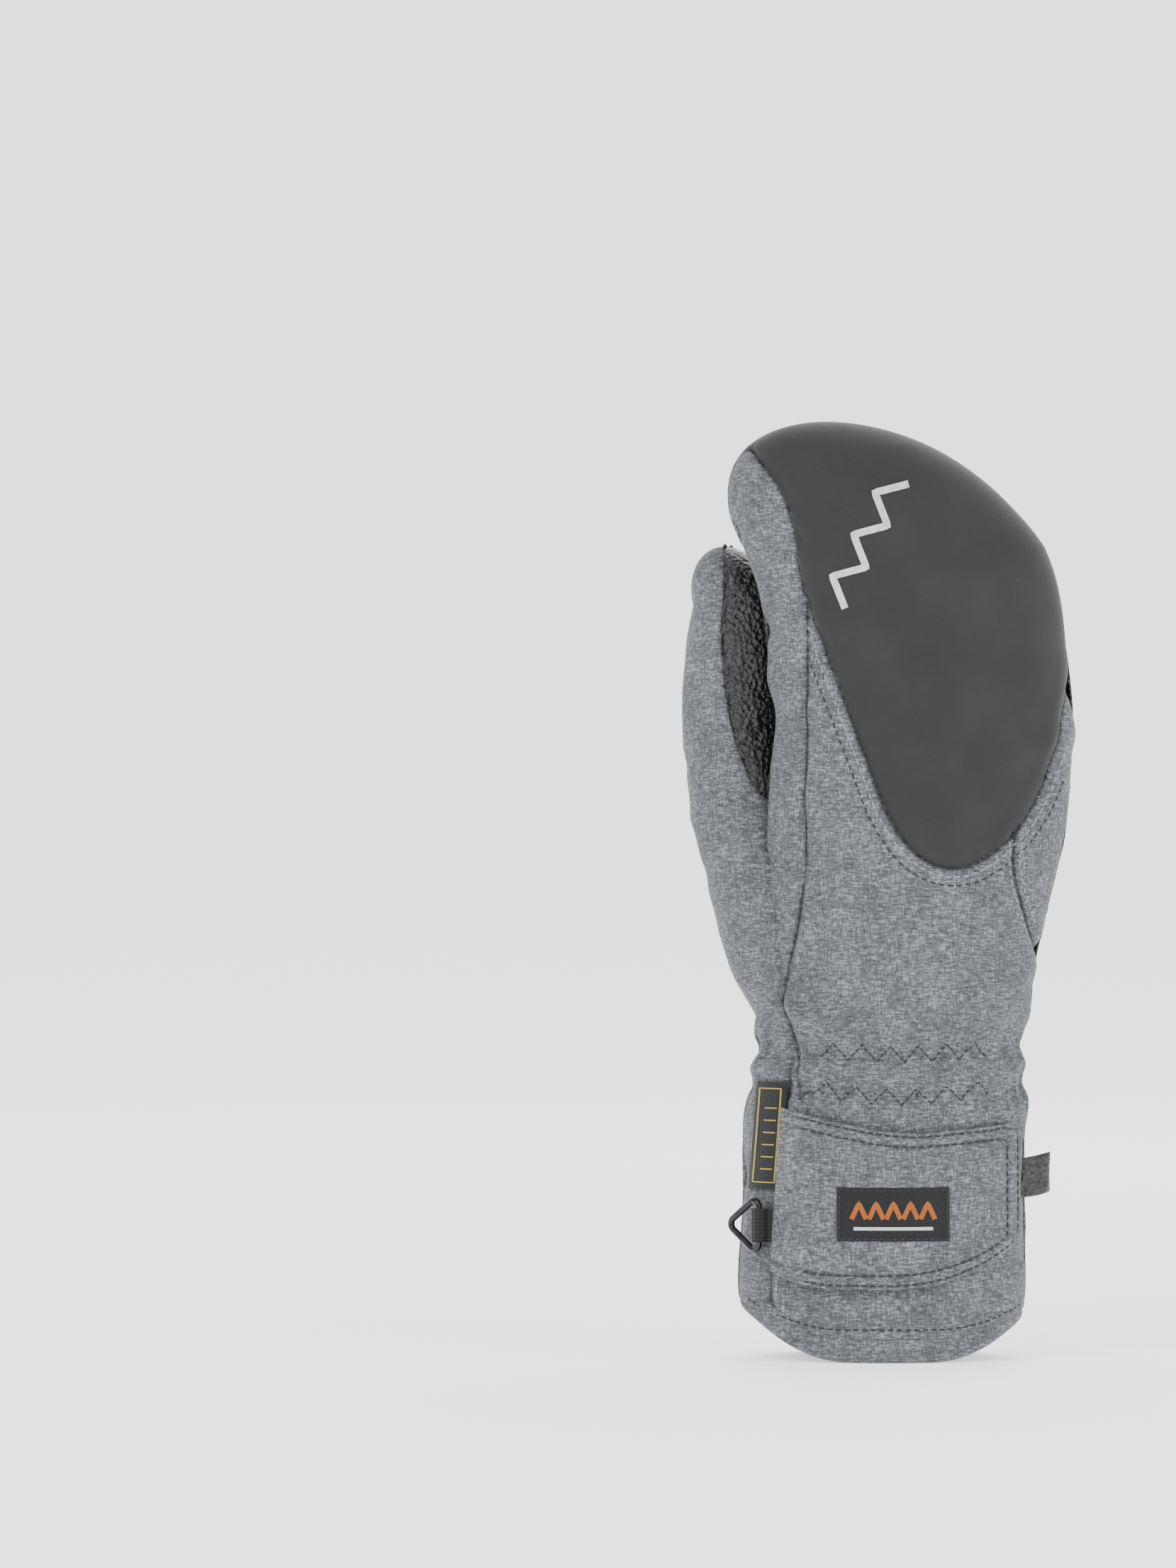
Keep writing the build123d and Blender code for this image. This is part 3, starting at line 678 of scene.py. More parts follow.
def makeHandSkin():
    # a grid round the hand and up it, snapped to the seams and parted into panels
    dome = domeHeights(handShape, 66)
    heights = np.concatenate([levels(skin["hemEdge"], handShape["domeStart"], skin["cell"]), dome])
    angle, z = np.meshgrid(np.linspace(0, 2 * math.pi, skin["columns"] + 1), heights)
    back = (angle > 0.02) & (angle < math.pi - 0.02)
    palm = (angle > math.pi + 0.02) & (angle < 2 * math.pi - 0.02)
    lines = [(seamLines[n], zones[n], back) for n in ("knuckle", "gusset", "crotch", "outer")]
    lines += [(seamLines[n], zones[n], palm) for n in ("tip", "band", "heel", "thumbGrey", "thumbLeather")]
    cell = 2 * math.pi * skin["radius"] / skin["columns"]
    angle, z, pinned = snapGrid(angle, z, handShape, lines, cell, skin["radius"])
    points, _ = tubePoint(handShape, angle, z, relief=handRelief)
    faces = splitQuads(*angle.shape, pinned)
    # painted shade along the hand's seams, stored for the materials
    shade = seamShade(sideAt(handShape, angle, z), z, angle < math.pi)
    turn, height = angle.ravel()[faces].mean(1), z.ravel()[faces].mean(1)
    x, isBack = sideAt(handShape, turn, height), turn < math.pi
    at = {name: inside(x, height, zone) for name, zone in zones.items()}
    cuff = height < handShape["cuffTop"]
    palmHand = ~isBack & ~cuff
    knuckle = isBack & at["knuckle"]
    cloth = isBack & ~cuff & ~knuckle
    rest = palmHand & ~at["tip"] & ~at["band"]
    lower = rest & ~at["thumbGrey"]
    panels = {
        "knucklePanel": (knuckle, softshell, ["knuckle_panel"]),
        "thumbBaseBack": (isBack & ~cuff & at["crotch"], melange, ["thumb_base_panel"]),
        "thumbSidePanel": (cloth & at["gusset"] & ~at["crotch"], melange, ["thumb_side_panel"]),
        "outerSidePanel": (cloth & at["outer"], melange, ["outer_side_panel"]),
        "backPanel": (cloth & ~at["gusset"] & ~at["crotch"] & ~at["outer"], melange, ["back_panel"]),
        "cuffBack": (isBack & cuff, melange, ["cuff_back"]),
        "cuffPalm": (~isBack & cuff, melange, ["cuff_palm"]),
        "fingertipWrap": (palmHand & at["tip"], melange, ["fingertip_wrap"]),
        "palmLeatherUpper": (palmHand & ~at["tip"] & at["band"], leather, ["palm_leather_upper"]),
        "thumbBasePalm": (rest & at["thumbGrey"], melange, []),
        "thumbBaseLeather": (lower & at["heel"] & at["thumbLeather"], leather, ["thumb_base_leather"]),
        "heelPanel": (lower & at["heel"] & ~at["thumbLeather"], softshell, ["heel_panel"]),
        "palmLeatherLower": (lower & ~at["heel"], leather, ["palm_leather_lower"]),
    }
    for name, (chosen, material, replaced) in panels.items():
        obj = buildMesh(name, points, faces[chosen][:, ::-1], material)
        setSeamShade(obj, shade, faces[chosen])
        addWall(obj, handShape["cloth"])
        rideAndReplace(obj, "mitten", replaced)


makeHandSkin()
print("hand skin made")


# layers inside
def makeTubeWall(name, shape, low, high, outer, inner, columns, rows, material):
    # a wall between two distances inside the surface: outside from the low end to the
    # top, inside back down, closed by a rim at the low end
    heights = low + (high - low) * np.sin(np.linspace(0, math.pi / 2, rows))
    angle, z = np.meshgrid(np.linspace(0, 2 * math.pi, columns, endpoint=False), heights)
    outside, _ = tubePoint(shape, angle, z, -outer)
    lowered = low + (z - low) * (high - low - (inner - outer)) / (high - low)
    within, _ = tubePoint(shape, angle, lowered, -inner)
    points = np.concatenate([outside, within[::-1], outside[:1]]).reshape(-1, 3)
    obj = buildMesh(name, points, gridFaces(2 * rows + 1, columns, wrap=True)[:, ::-1], material)
    weldMesh(obj)
    return obj


def weldMesh(obj, distance=0.00002):
    # joins doubled points, so that rims and poles close
    weld = obj.modifiers.new("weld", "WELD")
    weld.merge_threshold = distance
    return obj


handLayers = {  # low and high end, outer and inner distance inside the surface
    "handPadding": (9, 305, 2.9, 6.0, wadding,
                    ["insulation_back", "insulation_palm", "cuff_padding_back", "cuff_padding_palm"],
                    "insulation"),
    "handMembrane": (9, 302.5, 6.1, 6.4, film, ["membrane_insert"], "membrane"),
    "handLining": (4, 302, 6.5, 8.6, fleece, ["lining_back", "lining_palm", "cuff_lining"], "fleece"),
}
rowHeight = 3.0
for name, (low, high, outer, inner, material, nodes, slot) in handLayers.items():
    rows = int((high - low) / rowHeight)
    layer = makeTubeWall(name, handShape, low, high, outer, inner, 96, rows, material)
    rideAndReplace(layer, "mitten", nodes)

hem = {"top": 10.5, "innerTop": 11.0, "radius": 3.6, "columns": 240, "level": 4.0}


def makeHem():
    # the folded hem: a rounded profile carried round the cuff's edge, out, under and in
    # down outside, round a half circle, up inside, closed along the top
    radius, turn = hem["radius"], np.linspace(0, math.pi, 16)
    across = np.concatenate([
        np.zeros(10), radius - radius * np.cos(turn), np.full(7, 2 * radius), [radius, 0]])
    height = np.concatenate([
        np.linspace(hem["top"], radius, 10), radius - (radius - 0.05) * np.sin(turn),
        np.linspace(radius, hem["innerTop"], 8)[1:], np.linspace(hem["innerTop"], hem["top"], 3)[1:]])
    angles = np.linspace(0, 2 * math.pi, hem["columns"], endpoint=False)
    angle, row = np.meshgrid(angles, np.arange(len(across)))
    cx, cy, a, b = tubeOval(handShape, np.full(angle.shape, hem["level"]))
    inset = across[row] + 0.15 * np.sin(9 * angle + row * 0.2)
    x = cx + (a - inset) * np.cos(angle)
    y = cy - (b - inset) * np.sin(angle)
    z = height[row] + hemRise(cx + a * np.cos(angle), np.zeros(angle.shape))
    z = z + 0.25 * np.sin(5 * angle + 1.0) * (height[row] > 3.5)
    faces = gridFaces(len(across), hem["columns"], wrap=True)
    obj = buildMesh("hemFold", np.stack([x, y, z], -1), faces, melange)
    weldMesh(obj)
    rideAndReplace(obj, "mitten", ["hem_band"])


makeHem()
print("inner layers and hem made")

# thumb
thumbShape = {
    "top": 268.6,
    "domeStart": 249.0,
    "root": 112.0,
    "stations": [  # height, outer side, hand side, half depth, towards the palm
        (112, -40, -20, 14.5, 2), (128, -48.6, -22, 18.4, 4.5), (142, -52.4, -24, 19.6, 7.0),
        (156, -56.2, -25.5, 19.2, 9.8), (170, -59.4, -27.5, 18.3, 12.8), (184, -61.9, -29, 17.6, 16),
        (198, -63.8, -29.3, 17.2, 18.8), (212, -64.5, -28.6, 17.0, 20.8), (226, -63.9, -28.4, 16.8, 22.2),
        (240, -62.4, -29.6, 16.2, 23.0), (249, -60.6, -31.4, 15.6, 23.4),
    ],
    "domeLean": 4.5,
    "leanPower": 1.0,
    "domeTowards": 0.0,
    "columns": 150,
    "sideSeam": 18.0,
    "deepest": -1.0,
}
thumbFolds = [((-62, 196), (-44, 190), 3.6, -0.9), ((-60, 178), (-42, 186), 4.0, 0.7),
              ((-58, 230), (-36, 222), 5.0, -0.6), ((-56, 160), (-36, 168), 4.0, -0.8),
              ((-40, 208), (-28, 214), 3.6, -0.8), ((-50, 140), (-34, 150), 5.0, 0.6)]
thumbSeams = {
    "leather": smoothLine([(-14, 182), (-30, 183), (-38.6, 186), (-44.8, 197), (-49.8, 215), (-52, 238),
                           (-51, 256), (-50, 275)]),
    "inner": smoothLine([(-20, 110), (-24, 145), (-30, 159), (-36.5, 173), (-41, 190), (-42.6, 207),
                         (-41.2, 221), (-37.8, 235), (-38.2, 247), (-46, 254), (-49, 275)]),
}
thumbZones = {
    name: np.vstack([line, [(far, 275), (far, line[0][1])]]) for name, line in thumbSeams.items()
}


def thumbRelief(x, y, z, angle):
    # as the hand's, with a seam up the side that faces the hand
    back = np.sin(angle) >= 0
    relief = 0.4 * cloud(x + 30, y, z) + 0.3 * cloud(z, x, y, 2.2)
    nearest = np.full(x.shape, 1e9)
    for name, side in (("leather", back), ("inner", ~back)):
        d = np.where(side, lineDistance(x, z, thumbSeams[name][::2]), 1e9)
        relief += 0.3 * bell(d - 3.2, 2.2) - 0.75 * bell(d, 1.0)
        nearest = np.minimum(nearest, d)
    aside = np.abs(np.sin(angle / 2))
    nearest = np.minimum(nearest, aside * 30 + 1)
    relief += 0.7 * (1 - np.exp(-nearest / 9)) - 0.3 - 0.7 * bell(aside * thumbShape["sideSeam"], 1.0)
    relief += foldRelief(x, z, thumbFolds)
    return np.maximum(relief, thumbShape["deepest"]) * np.clip((thumbShape["top"] - z) / 6, 0, 1)


def onThumb(x, z, back=True, out=0.0):
    # the thumb's surface at a side and height
    x, z = np.asarray(x, float), np.asarray(z, float)
    return tubePoint(thumbShape, seenAngle(thumbShape, x, z, back), z, out, thumbRelief)


def bendWithThumb(obj, replaced=()):
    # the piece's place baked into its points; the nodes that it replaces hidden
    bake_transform(obj)
    if replaced:
        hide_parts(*replaced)


def makeThumbSkin():
    # as the hand's skin: a grid snapped to the thumb's seams and parted into panels
    dome = domeHeights(thumbShape, 34)
    heights = np.concatenate([levels(thumbShape["root"], thumbShape["domeStart"], skin["cell"]), dome])
    angle, z = np.meshgrid(np.linspace(0, 2 * math.pi, thumbShape["columns"] + 1), heights)
    back = (angle > 0.03) & (angle < math.pi - 0.03)
    palm = (angle > math.pi + 0.03) & (angle < 2 * math.pi - 0.03)
    lines = [(thumbSeams["leather"], thumbZones["leather"], back),
             (thumbSeams["inner"], thumbZones["inner"], palm)]
    angle, z, pinned = snapGrid(angle, z, thumbShape, lines, 0.72, 17)
    points, _ = tubePoint(thumbShape, angle, z, relief=thumbRelief)
    faces = splitQuads(*angle.shape, pinned)
    turn, height = angle.ravel()[faces].mean(1), z.ravel()[faces].mean(1)
    x, isBack = sideAt(thumbShape, turn, height), turn < math.pi
    own = sideAt(thumbShape, angle, z)
    # painted shade along the thumb's two seams
    backShade = np.where(angle < math.pi, bell(lineDistance(own, z, thumbSeams["leather"]), 0.5), 0)
    palmShade = np.where(angle > math.pi, bell(lineDistance(own, z, thumbSeams["inner"]), 0.5), 0)
    shade = np.maximum(backShade, palmShade)
    isLeather = isBack & inside(x, height, thumbZones["leather"])
    isInner = ~isBack & inside(x, height, thumbZones["inner"])
    panels = [
        ("thumbLeatherPanel", isLeather, leather, ["thumb_leather_panel"], "black_leather"),
        ("thumbInnerPanel", isInner, softshell, ["thumb_inner_panel"], "black_softshell"),
        ("thumbOuterPanel", ~isLeather & ~isInner, melange, ["thumb_outer_panel"], "grey_melange"),
    ]
    for name, chosen, material, replaced, slot in panels:
        obj = buildMesh(name, points, faces[chosen][:, ::-1], material)
        setSeamShade(obj, shade, faces[chosen])
        if name == "thumbOuterPanel":
            weldMesh(obj)
        addWall(obj, handShape["cloth"])
        bendWithThumb(obj, replaced)


thumbLayers = {  # high end, outer and inner distance inside the surface
    "thumbPadding": (264.5, 2.4, 4.0, wadding, "thumb_insulation", "insulation"),
    "thumbMembrane": (263.4, 4.1, 4.3, film, "thumb_membrane", "membrane"),
    "thumbLining": (263, 4.4, 6.2, fleece, "thumb_lining", "fleece"),
}
thumbLayerLow = 118.0

makeThumbSkin()
for name, (high, outer, inner, material, node, slot) in thumbLayers.items():
    layer = makeTubeWall(name, thumbShape, thumbLayerLow, high, outer, inner, 64, 50, material)
    bendWithThumb(layer, [node])
print("thumb made")

# strap
strapShape = {
    "seamTop": -31.0, "seamBottom": -35.2, "right": 43.2, "corner": 5.0,
    "outer": 4.45,
    "bend": -27.0,
    "edge": 1.3, "inset": 4.6,  # the two rows of stitches, from the edge
}


def strapEdges(x):
    # bottom and top of the strap at each side place, rounded off at the free end
    top = curveThrough(x, [-36, -16, 9.5, 24, 44], [85, 79.3, 75.4, 76.4, 78.6])
    bottom = curveThrough(x, [-36, -28, -8, 16, 32, 46], [27.6, 25.6, 24.4, 25.8, 31.4, 40.6])
    past = np.clip(x - (strapShape["right"] - strapShape["corner"]), 0, strapShape["corner"])
    cut = strapShape["corner"] - np.sqrt(strapShape["corner"] ** 2 - past**2)
    return bottom + cut, top - cut


def strapRelief(edge, x, z):
    # rolled edge, two sunk rows, a padded ridge between them, slow waves
    relief = 0.6 * (1 - np.exp(-edge / 0.9)) - 0.6 + 0.35 * bell(edge - 2.9, 1.0)
    relief -= 0.3 * bell(edge - strapShape["inset"], 0.7) + 0.25 * bell(edge - strapShape["edge"], 0.5)
    relief += 0.3 * (1 - np.exp(-np.maximum(edge - strapShape["inset"], 0) / 4))
    return relief + 0.25 * cloud(x, 0 * x, z, 2)


def strapPoint(s, t):
    # s along the strap, t up it; edges roll in and the stitched rows sink
    x0 = strapShape["seamBottom"] + (strapShape["seamTop"] - strapShape["seamBottom"]) * t
    x = x0 + (strapShape["right"] - x0) * s
    low, high = strapEdges(x)
    z = low + (high - low) * t
    edge = np.minimum(np.minimum(z - low, high - z), (strapShape["right"] - x) * 1.02)
    cuff, normal = onHand(x, z, True, 0.0, worked=False)
    root = np.clip((x - strapShape["seamTop"] + 5) / 8, 0, 1)
    out = strapShape["outer"] * (0.35 + 0.65 * root) + strapRelief(edge, x, z)
    return cuff + normal * out[..., None], edge


def makeStrap():
    # the strap's surface, closer set towards its free end
    s, t = np.meshgrid(np.linspace(0, 1, 150), np.linspace(0, 1, 90))
    ease = 0.5 - 0.5 * np.cos(t * math.pi)
    t = 0.7 * t + 0.3 * ease
    points, edge = strapPoint(1 - (1 - s) ** 1.15, t)
    faces = gridFaces(90, 150)
    obj = buildMesh("strapPanel", points, faces, melange)
    # painted shade in the strap's two sunk rows of stitches
    shade = 0.5 * bell(edge - strapShape["inset"], 0.5) + 0.5 * bell(edge - strapShape["edge"], 0.4)
    setSeamShade(obj, shade, faces)
    addWall(obj, 1.7)
    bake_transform(obj)
    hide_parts("strap_face", "strap_backing", "strap_base")


makeStrap()


def makePlate(name, low, high, leftOf, rightOf, out, wall, material, body, replaced, edge=0.25):
    # a thin cloth plate on the cuff, its edges turned down
    t, s = np.meshgrid(np.linspace(0, 1, 60), np.linspace(0, 1, 60), indexing="ij")
    z = low + (high - low) * t
    x = leftOf(z) + (rightOf(z) - leftOf(z)) * s
    near = np.minimum(np.minimum(t, 1 - t) * (high - low), np.minimum(s, 1 - s) * (rightOf(z) - leftOf(z)))
    lift = out + wall - edge * np.exp(-near / 0.5) + 0.08 * cloud(x, 0 * x, z, 4)
    points, _ = onHand(x, z, True, lift, worked=False)
    obj = buildMesh(name, points, gridFaces(60, 60), material)
    addWall(obj, wall)
    rideAndReplace(obj, body, replaced)
    return obj


label = {"side": 3.4, "centre": 49.0, "width": 34.4, "height": 17.5, "out": 4.8}
labelLeft, labelRight = [label["side"] + sign * label["width"] / 2 for sign in (-1, 1)]
labelLow, labelHigh = [label["centre"] + sign * label["height"] / 2 for sign in (-1, 1)]
makePlate("strapLabel", labelLow, labelHigh, lambda z: 0 * z + labelLeft, lambda z: 0 * z + labelRight,
          label["out"], 0.5, labelCloth, "strap", ["strap_label"])
makePlate("sideLabel", 56.0, 91.5, lambda z: -42.6 + (z - 57.0) * 0.083, lambda z: -33.0 + (z - 56.0) * 0.083,
          0.3, 0.7, labelCloth, "mitten", ["side_label"])
print("strap and labels made")


# stitching
def resample(path, pitch):
    # points one pitch apart along the path, with the direction at each
    gaps = np.linalg.norm(np.diff(path, axis=0), axis=1)
    along = np.concatenate([[0], np.cumsum(gaps)])
    count = max(2, int(along[-1] / pitch))
    at = (np.arange(count) + 0.5) * along[-1] / count

    def pathAt(where):
        # the path's values at lengths along it
        return np.stack([np.interp(where, along, values) for values in path.T], -1)

    return pathAt(at), pathAt(np.minimum(at + 0.4, along[-1])) - pathAt(np.maximum(at - 0.4, 0))


def stitchMesh(rows, pitch=3.0, length=2.2, radius=0.32):
    # each stitch is a six-sided bead, thick in the middle and dipping at its ends
    ring = np.linspace(0, 2 * math.pi, 6, endpoint=False)
    along = np.array([-0.5, -0.3, 0.0, 0.3, 0.5])
    girth = np.array([0.35, 0.9, 1.0, 0.9, 0.35])
    sink = np.array([0.9, 0.25, 0.0, 0.25, 0.9])
    points, faces, start = [], [], 0
    for path, normals in rows:
        both = np.hstack([path, normals])
        spots, direction = resample(both, pitch)
        place, up, forward = spots[:, :3], spots[:, 3:], direction[:, :3]
        forward /= np.linalg.norm(forward, axis=1)[:, None] + 1e-9
        up /= np.linalg.norm(up, axis=1)[:, None] + 1e-9
        side = np.cross(forward, up)
        centre = place[:, None] + forward[:, None] * (along * length)[None, :, None]
        centre = centre - up[:, None] * (sink * radius)[None, :, None]
        spread = (np.cos(ring)[None, None, :, None] * side[:, None, None]
                  + np.sin(ring)[None, None, :, None] * up[:, None, None])
        beads = centre[:, :, None] + spread * (girth * radius)[None, :, None, None]
        quads = gridFaces(5, 6, wrap=True)
        base = start + np.arange(len(place))[:, None, None] * 30
        faces.append((quads[None] + base).reshape(-1, 4))
        caps = np.array([[0, 1, 2, 3], [0, 3, 4, 5], [27, 26, 25, 24], [29, 28, 27, 24]])
        faces.append((caps[None] + base).reshape(-1, 4))
        points.append(beads.reshape(-1, 3))
        start += len(place) * 30
    return np.concatenate(points), np.concatenate(faces)


def offsetLine(line, distance):
    # the line moved sideways: positive to the right of its direction
    direction = np.gradient(line, axis=0)
    direction /= np.linalg.norm(direction, axis=1)[:, None] + 1e-9
    return line + np.stack([direction[:, 1], -direction[:, 0]], -1) * distance


def handRow(line, offset=0.0, back=True, lowHeight=-1e9, highHeight=1e9, out=0.12):
    # a row on the hand's skin beside a seam
    moved = offsetLine(line, offset)
    cx, _, a, _ = tubeOval(handShape, moved[:, 1])
    ok = (np.abs(moved[:, 0] - cx) < 0.95 * a) & (moved[:, 1] > lowHeight) & (moved[:, 1] < highHeight)
    moved = moved[ok]
    return onHand(moved[:, 0], moved[:, 1], back, out)


def sew(name, rows, material, body, pitch=3.0, length=2.2, radius=0.32, bent=False):
    # rows of stitches as one piece, on a body or with its place baked into its points
    points, faces = stitchMesh(rows, pitch, length, radius)
    obj = buildMesh(name, points, faces, material)
    if bent:
        bendWithThumb(obj)
    else:
        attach(obj, body)
    return obj


def makeStitches():
    # rows beside the seams, each at its distance from the seam's line
    knuckle = seamLines["knuckle"]
    sew("knuckleRowLight", [handRow(knuckle, 2.6, highHeight=243)], threadLight, "mitten")
    sew("knuckleRowDark", [handRow(knuckle, 5.5, highHeight=236)], threadDark, "mitten")
    back = [handRow(seamLines["outer"], d, lowHeight=132, highHeight=172) for d in (-1.8, 1.8)]
    sew("outerSeamRows", back, threadLight, "mitten")
    palm = [handRow(seamLines["band"], d, back=False) for d in (-1.7, 1.7)]
    palm += [handRow(seamLines["heel"], d, back=False, highHeight=177) for d in (-1.7, 1.7)]
    palm += [handRow(seamLines["tip"], d, back=False) for d in (-1.8,)]
    palm += [handRow(seamLines["thumbLeather"], d, back=False, lowHeight=101, highHeight=170) for d in (1.6,)]
    sew("palmRows", palm, threadDark, "mitten", radius=0.34)
    x = np.linspace(-43.5, 46, 120)
    hemRow = [onHand(x, np.full(120, 11.0), True, 0.1), onHand(x, np.full(120, 11.0), False, 0.1)]
    sew("hemRow", hemRow, threadDark, "mitten", pitch=2.8)
    thumb = [onThumb(*offsetLine(thumbSeams["inner"][12:], d)[:-14].T, back=False, out=0.1) for d in (1.7,)]
    sew("thumbRows", thumb, threadDark, "mitten", bent=True)


def zigzag(left, right, middleHeight, sag, rise, period):
    # a zigzag line: height swings by the rise each half period about a sagging middle
    count = int((right - left) / period * 2)
    x = np.linspace(left, right, count + 1)
    z = middleHeight - sag * (1 - ((x - (left + right) / 2) / ((right - left) / 2)) ** 2)
    z = z + rise / 2 * np.where(np.arange(count + 1) % 2, 1, -1)
    return np.stack([x, z], -1)


def densify(line, step=0.8):
    # the same straight pieces with points about one step apart
    out = [np.linspace(a, b, max(2, int(np.linalg.norm(b - a) / step)), endpoint=False)
           for a, b in zip(line[:-1], line[1:])]
    return np.vstack([*out, line[-1:]])


def makeZigzags():
    # zigzag rows over elastic: two on the back of the wrist, one on its palm side and
    # one lower on the cuff's palm side
    rows = []
    for left, right, height, sag, rise, period, back in (
        (-20, 35, 102.5, 1.5, 5.2, 8.8, True), (-23, 36, 90.0, 3.0, 5.0, 9.2, True),
        (-40, 12, 87.0, 0.5, 3.6, 8.0, False), (-32, 17, 36.5, 0.5, 3.4, 8.4, False),
    ):
        line = densify(zigzag(left, right, height, sag, rise, period))
        rows.append(onHand(line[:, 0], line[:, 1], back, 0.12))
    sew("wristZigzags", rows, threadDark, "mitten", pitch=2.2, length=2.0, radius=0.3)


def strapRow(inset):
    # a row that follows the strap's top, free end and bottom at an inset
    x = np.linspace(-24.5, strapShape["right"] - inset, 200)
    low, high = strapEdges(x)
    ease = np.clip((strapShape["right"] - inset - x) / 4.0, 0, 1)
    cut = (3.5 if inset < 3 else 2.0) * (1 - np.sqrt(1 - (1 - ease) ** 2))
    top = np.stack([x, high - inset - cut], -1)
    bottom = np.stack([x, low + inset + cut], -1)
    end = np.linspace(top[-1], bottom[-1], 40)[1:-1]
    line = np.vstack([top, end, bottom[::-1]])
    x, z = line.T
    out = strapShape["outer"] + strapRelief(np.full(x.shape, inset), x, z) + 0.16
    return onHand(x, z, True, out, worked=False)


def rectangleRow(left, right, low, high, out, inset):
    # round a rectangle on the hand, at an inset from its edge
    left, right, low, high = left + inset, right - inset, low + inset, high - inset
    line = densify(np.array([(left, low), (right, low), (right, high), (left, high), (left, low)]))
    return onHand(line[:, 0], line[:, 1], True, out, worked=False)


makeStitches()
makeZigzags()
sew("strapRowOuter", [strapRow(strapShape["edge"])], threadDark, "strap", pitch=2.8)
sew("strapRowInner", [strapRow(strapShape["inset"])], threadDark, "strap", pitch=2.8)
labelRow = rectangleRow(labelLeft, labelRight, labelLow, labelHigh, label["out"] + 0.55, 0.9)
sew("labelStitches", [labelRow], threadDark, "strap", pitch=2.4, length=1.7, radius=0.26)
print("stitches made")


# marks on the labels and the printed ridge
def bandAlong(line, width, out, back=True, worked=False):
    # a flat band of even width along a line on the hand, square ends
    upper, lower = offsetLine(line, -width / 2), offsetLine(line, width / 2)
    a, _ = onHand(upper[:, 0], upper[:, 1], back, out, worked)
    b, _ = onHand(lower[:, 0], lower[:, 1], back, out, worked)
    return np.concatenate([b, a]), gridFaces(2, len(line))


def makeBands(name, lines, width, out, wall, material, body, worked=False, replaced=()):
    # several bands as one piece
    points, faces, start = [], [], 0
    for line in lines:
        p, f = bandAlong(densify(np.array(line, float), 0.7), width, out, True, worked)
        points.append(p)
        faces.append(f + start)
        start += len(p)
    obj = buildMesh(name, np.concatenate(points), np.concatenate(faces), material, smooth=False)
    addWall(obj, wall)
    rideAndReplace(obj, body, replaced)
    return obj


def peaks(start, step, count, rise, lean):
    # a row of peaks, turned by the lean
    points = np.array([(i * step, rise * (i % 2)) for i in range(2 * count + 1)], float)
    c, s = math.cos(math.radians(lean)), math.sin(math.radians(lean))
    return points @ np.array([[c, s], [-s, c]]) + np.array(start)


ridge = {"start": (-11.5, 247), "step": 7.6, "peaks": 3, "rise": 8.5, "lean": 63}
makeBands("ridgePrint", [peaks(ridge["start"], ridge["step"], ridge["peaks"], ridge["rise"], ridge["lean"])],
          2.3, 0.32, 0.3, rubberPrint, "mitten", worked=True, replaced=["ridge_print"])
motifLow = label["centre"] - 1.5
centres = [label["side"] + i * 5.2 for i in (-2, -1, 0, 1, 2)]
chevrons = [[(x - 2.2, motifLow), (x, motifLow + 5.2), (x + 2.2, motifLow)] for x in centres]
makeBands("labelChevrons", chevrons, 1.5, label["out"] + 0.62, 0.12, threadOrange, "strap")
underline = [[(label["side"] - 12, label["centre"] - 4.6), (label["side"] + 12, label["centre"] - 4.6)]]
makeBands("labelLine", underline, 1.1, label["out"] + 0.62, 0.12, threadWhite, "strap")
sideMarks = [[(-41.0, 58.6), (-38.6, 89.4), (-32.0, 89.4), (-34.3, 58.6), (-41.0, 58.6)]]
sideMarks += [[(side + 0.078 * (z - 60), z) for side in (-38.9, -35.2)] for z in range(63, 84, 4)]
makeBands("sideLabelFrame", sideMarks, 0.45, 1.08, 0.1, threadYellow, "mitten")
print("marks made")


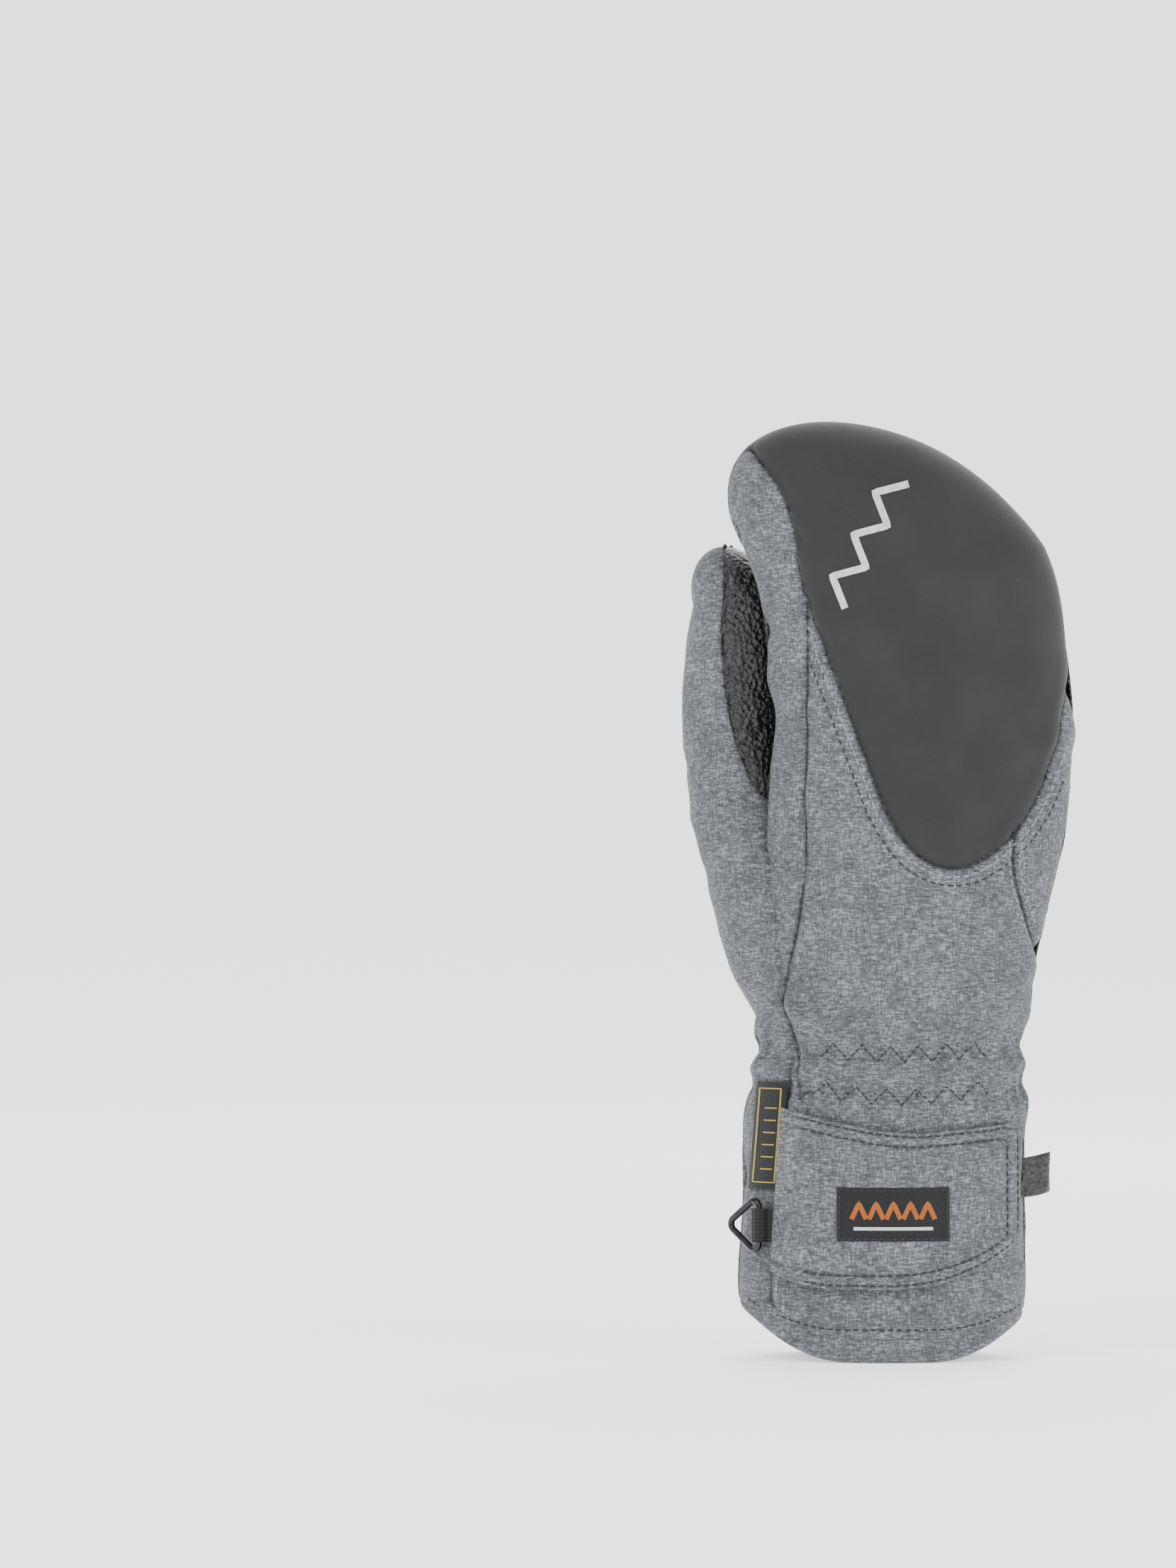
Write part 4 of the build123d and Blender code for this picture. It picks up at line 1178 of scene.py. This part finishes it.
# pull tab
def makePullTab():
    # folded leather loop: a long teardrop outline carried up its width, edges softened
    low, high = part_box("pull_tab")
    root = np.array([low[0] + 0.0006, low[1] + 0.0010])
    tip = np.array([high[0] - 0.0010, high[1] - 0.0010])
    direction = (tip - root) / np.linalg.norm(tip - root)
    side = np.array([direction[1], -direction[0]])
    length = np.linalg.norm(tip - root) + 0.0006
    turn = np.linspace(0, 2 * math.pi, 56, endpoint=False)
    along = (0.5 - 0.5 * np.cos(turn)) * length
    swell = 0.0008 + 0.0007 * np.exp(-(((along / length) - 0.85) / 0.2) ** 2)
    across = np.sin(turn) * swell * 1.25
    heights = np.linspace(-1, 1, 34)
    soften = np.sqrt(np.clip(1 - np.abs(heights) ** 14, 0, 1))
    middle, half = (low[2] + high[2]) / 2, (high[2] - low[2]) / 2
    shrink = 0.25 + 0.75 * soften[:, None]
    a, c = along[None, :] + 0 * shrink, across[None, :] * shrink
    wave = 0.0004 * np.sin(a / length * 5 + heights[:, None] * 1.5)
    lift = middle + half * heights[:, None] + 0.0009 * (a / length) ** 2 * 2
    x = root[0] + direction[0] * a + side[0] * (c + wave)
    y = root[1] + direction[1] * a + side[1] * (c + wave)
    metres = np.stack([x, y, lift + 0 * x], -1)
    drawn = metres / mm - np.array([drawing["side"], drawing["depth"], 0])
    ends = np.stack([drawn[0].mean(0), drawn[-1].mean(0)])
    rows = np.concatenate([np.repeat(ends[:1], 56, 0)[None], drawn, np.repeat(ends[1:], 56, 0)[None]])
    obj = buildMesh("pullTab", rows, gridFaces(36, 56, wrap=True), leather)
    weldMesh(obj)
    rideAndReplace(obj, "pull_tab", ["pull_tab"])


makePullTab()

# CAD nodes that stay
kept = {
    "hook_patch": hookTape, "loop_patch": hookTape, "ring_tape": webbing, "clip_ring": gunmetal,
    "wrist_elastic_upper": elasticTape, "wrist_elastic_lower": elasticTape, "wrist_elastic_palm": elasticTape,
}
for node, material in kept.items():
    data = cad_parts[node].data
    data.materials.clear()
    data.materials.append(material)


# floor
def makeSweep():
    # a floor that curves up into a wall behind, one profile carried sideways
    turn = np.linspace(0, math.pi / 2, 16)
    depth = np.concatenate([[-6], 2.2 + 1.2 * np.sin(turn), [3.4]])
    height = np.concatenate([[0], 1.2 - 1.2 * np.cos(turn), [6]])
    rows = np.stack([np.stack([np.full(len(depth), side), depth, height], -1) for side in (-6.0, 6.0)])
    mesh = bpy.data.meshes.new("sweep")
    mesh.from_pydata(rows.reshape(-1, 3).tolist(), [], gridFaces(2, len(depth)).tolist())
    mesh.polygons.foreach_set("use_smooth", np.full(len(mesh.polygons), True))
    material, _, shader = newMaterial("paperSweep", 0.9, specular=0.1)
    shader.inputs["Base Color"].default_value = hexColour(room["wall"])
    shader.inputs["Emission Color"].default_value = hexColour(room["light"])
    shader.inputs["Emission Strength"].default_value = 0.8
    mesh.materials.append(material)
    obj = bpy.data.objects.new("sweep", mesh)
    bpy.context.collection.objects.link(obj)


makeSweep()
print("done")
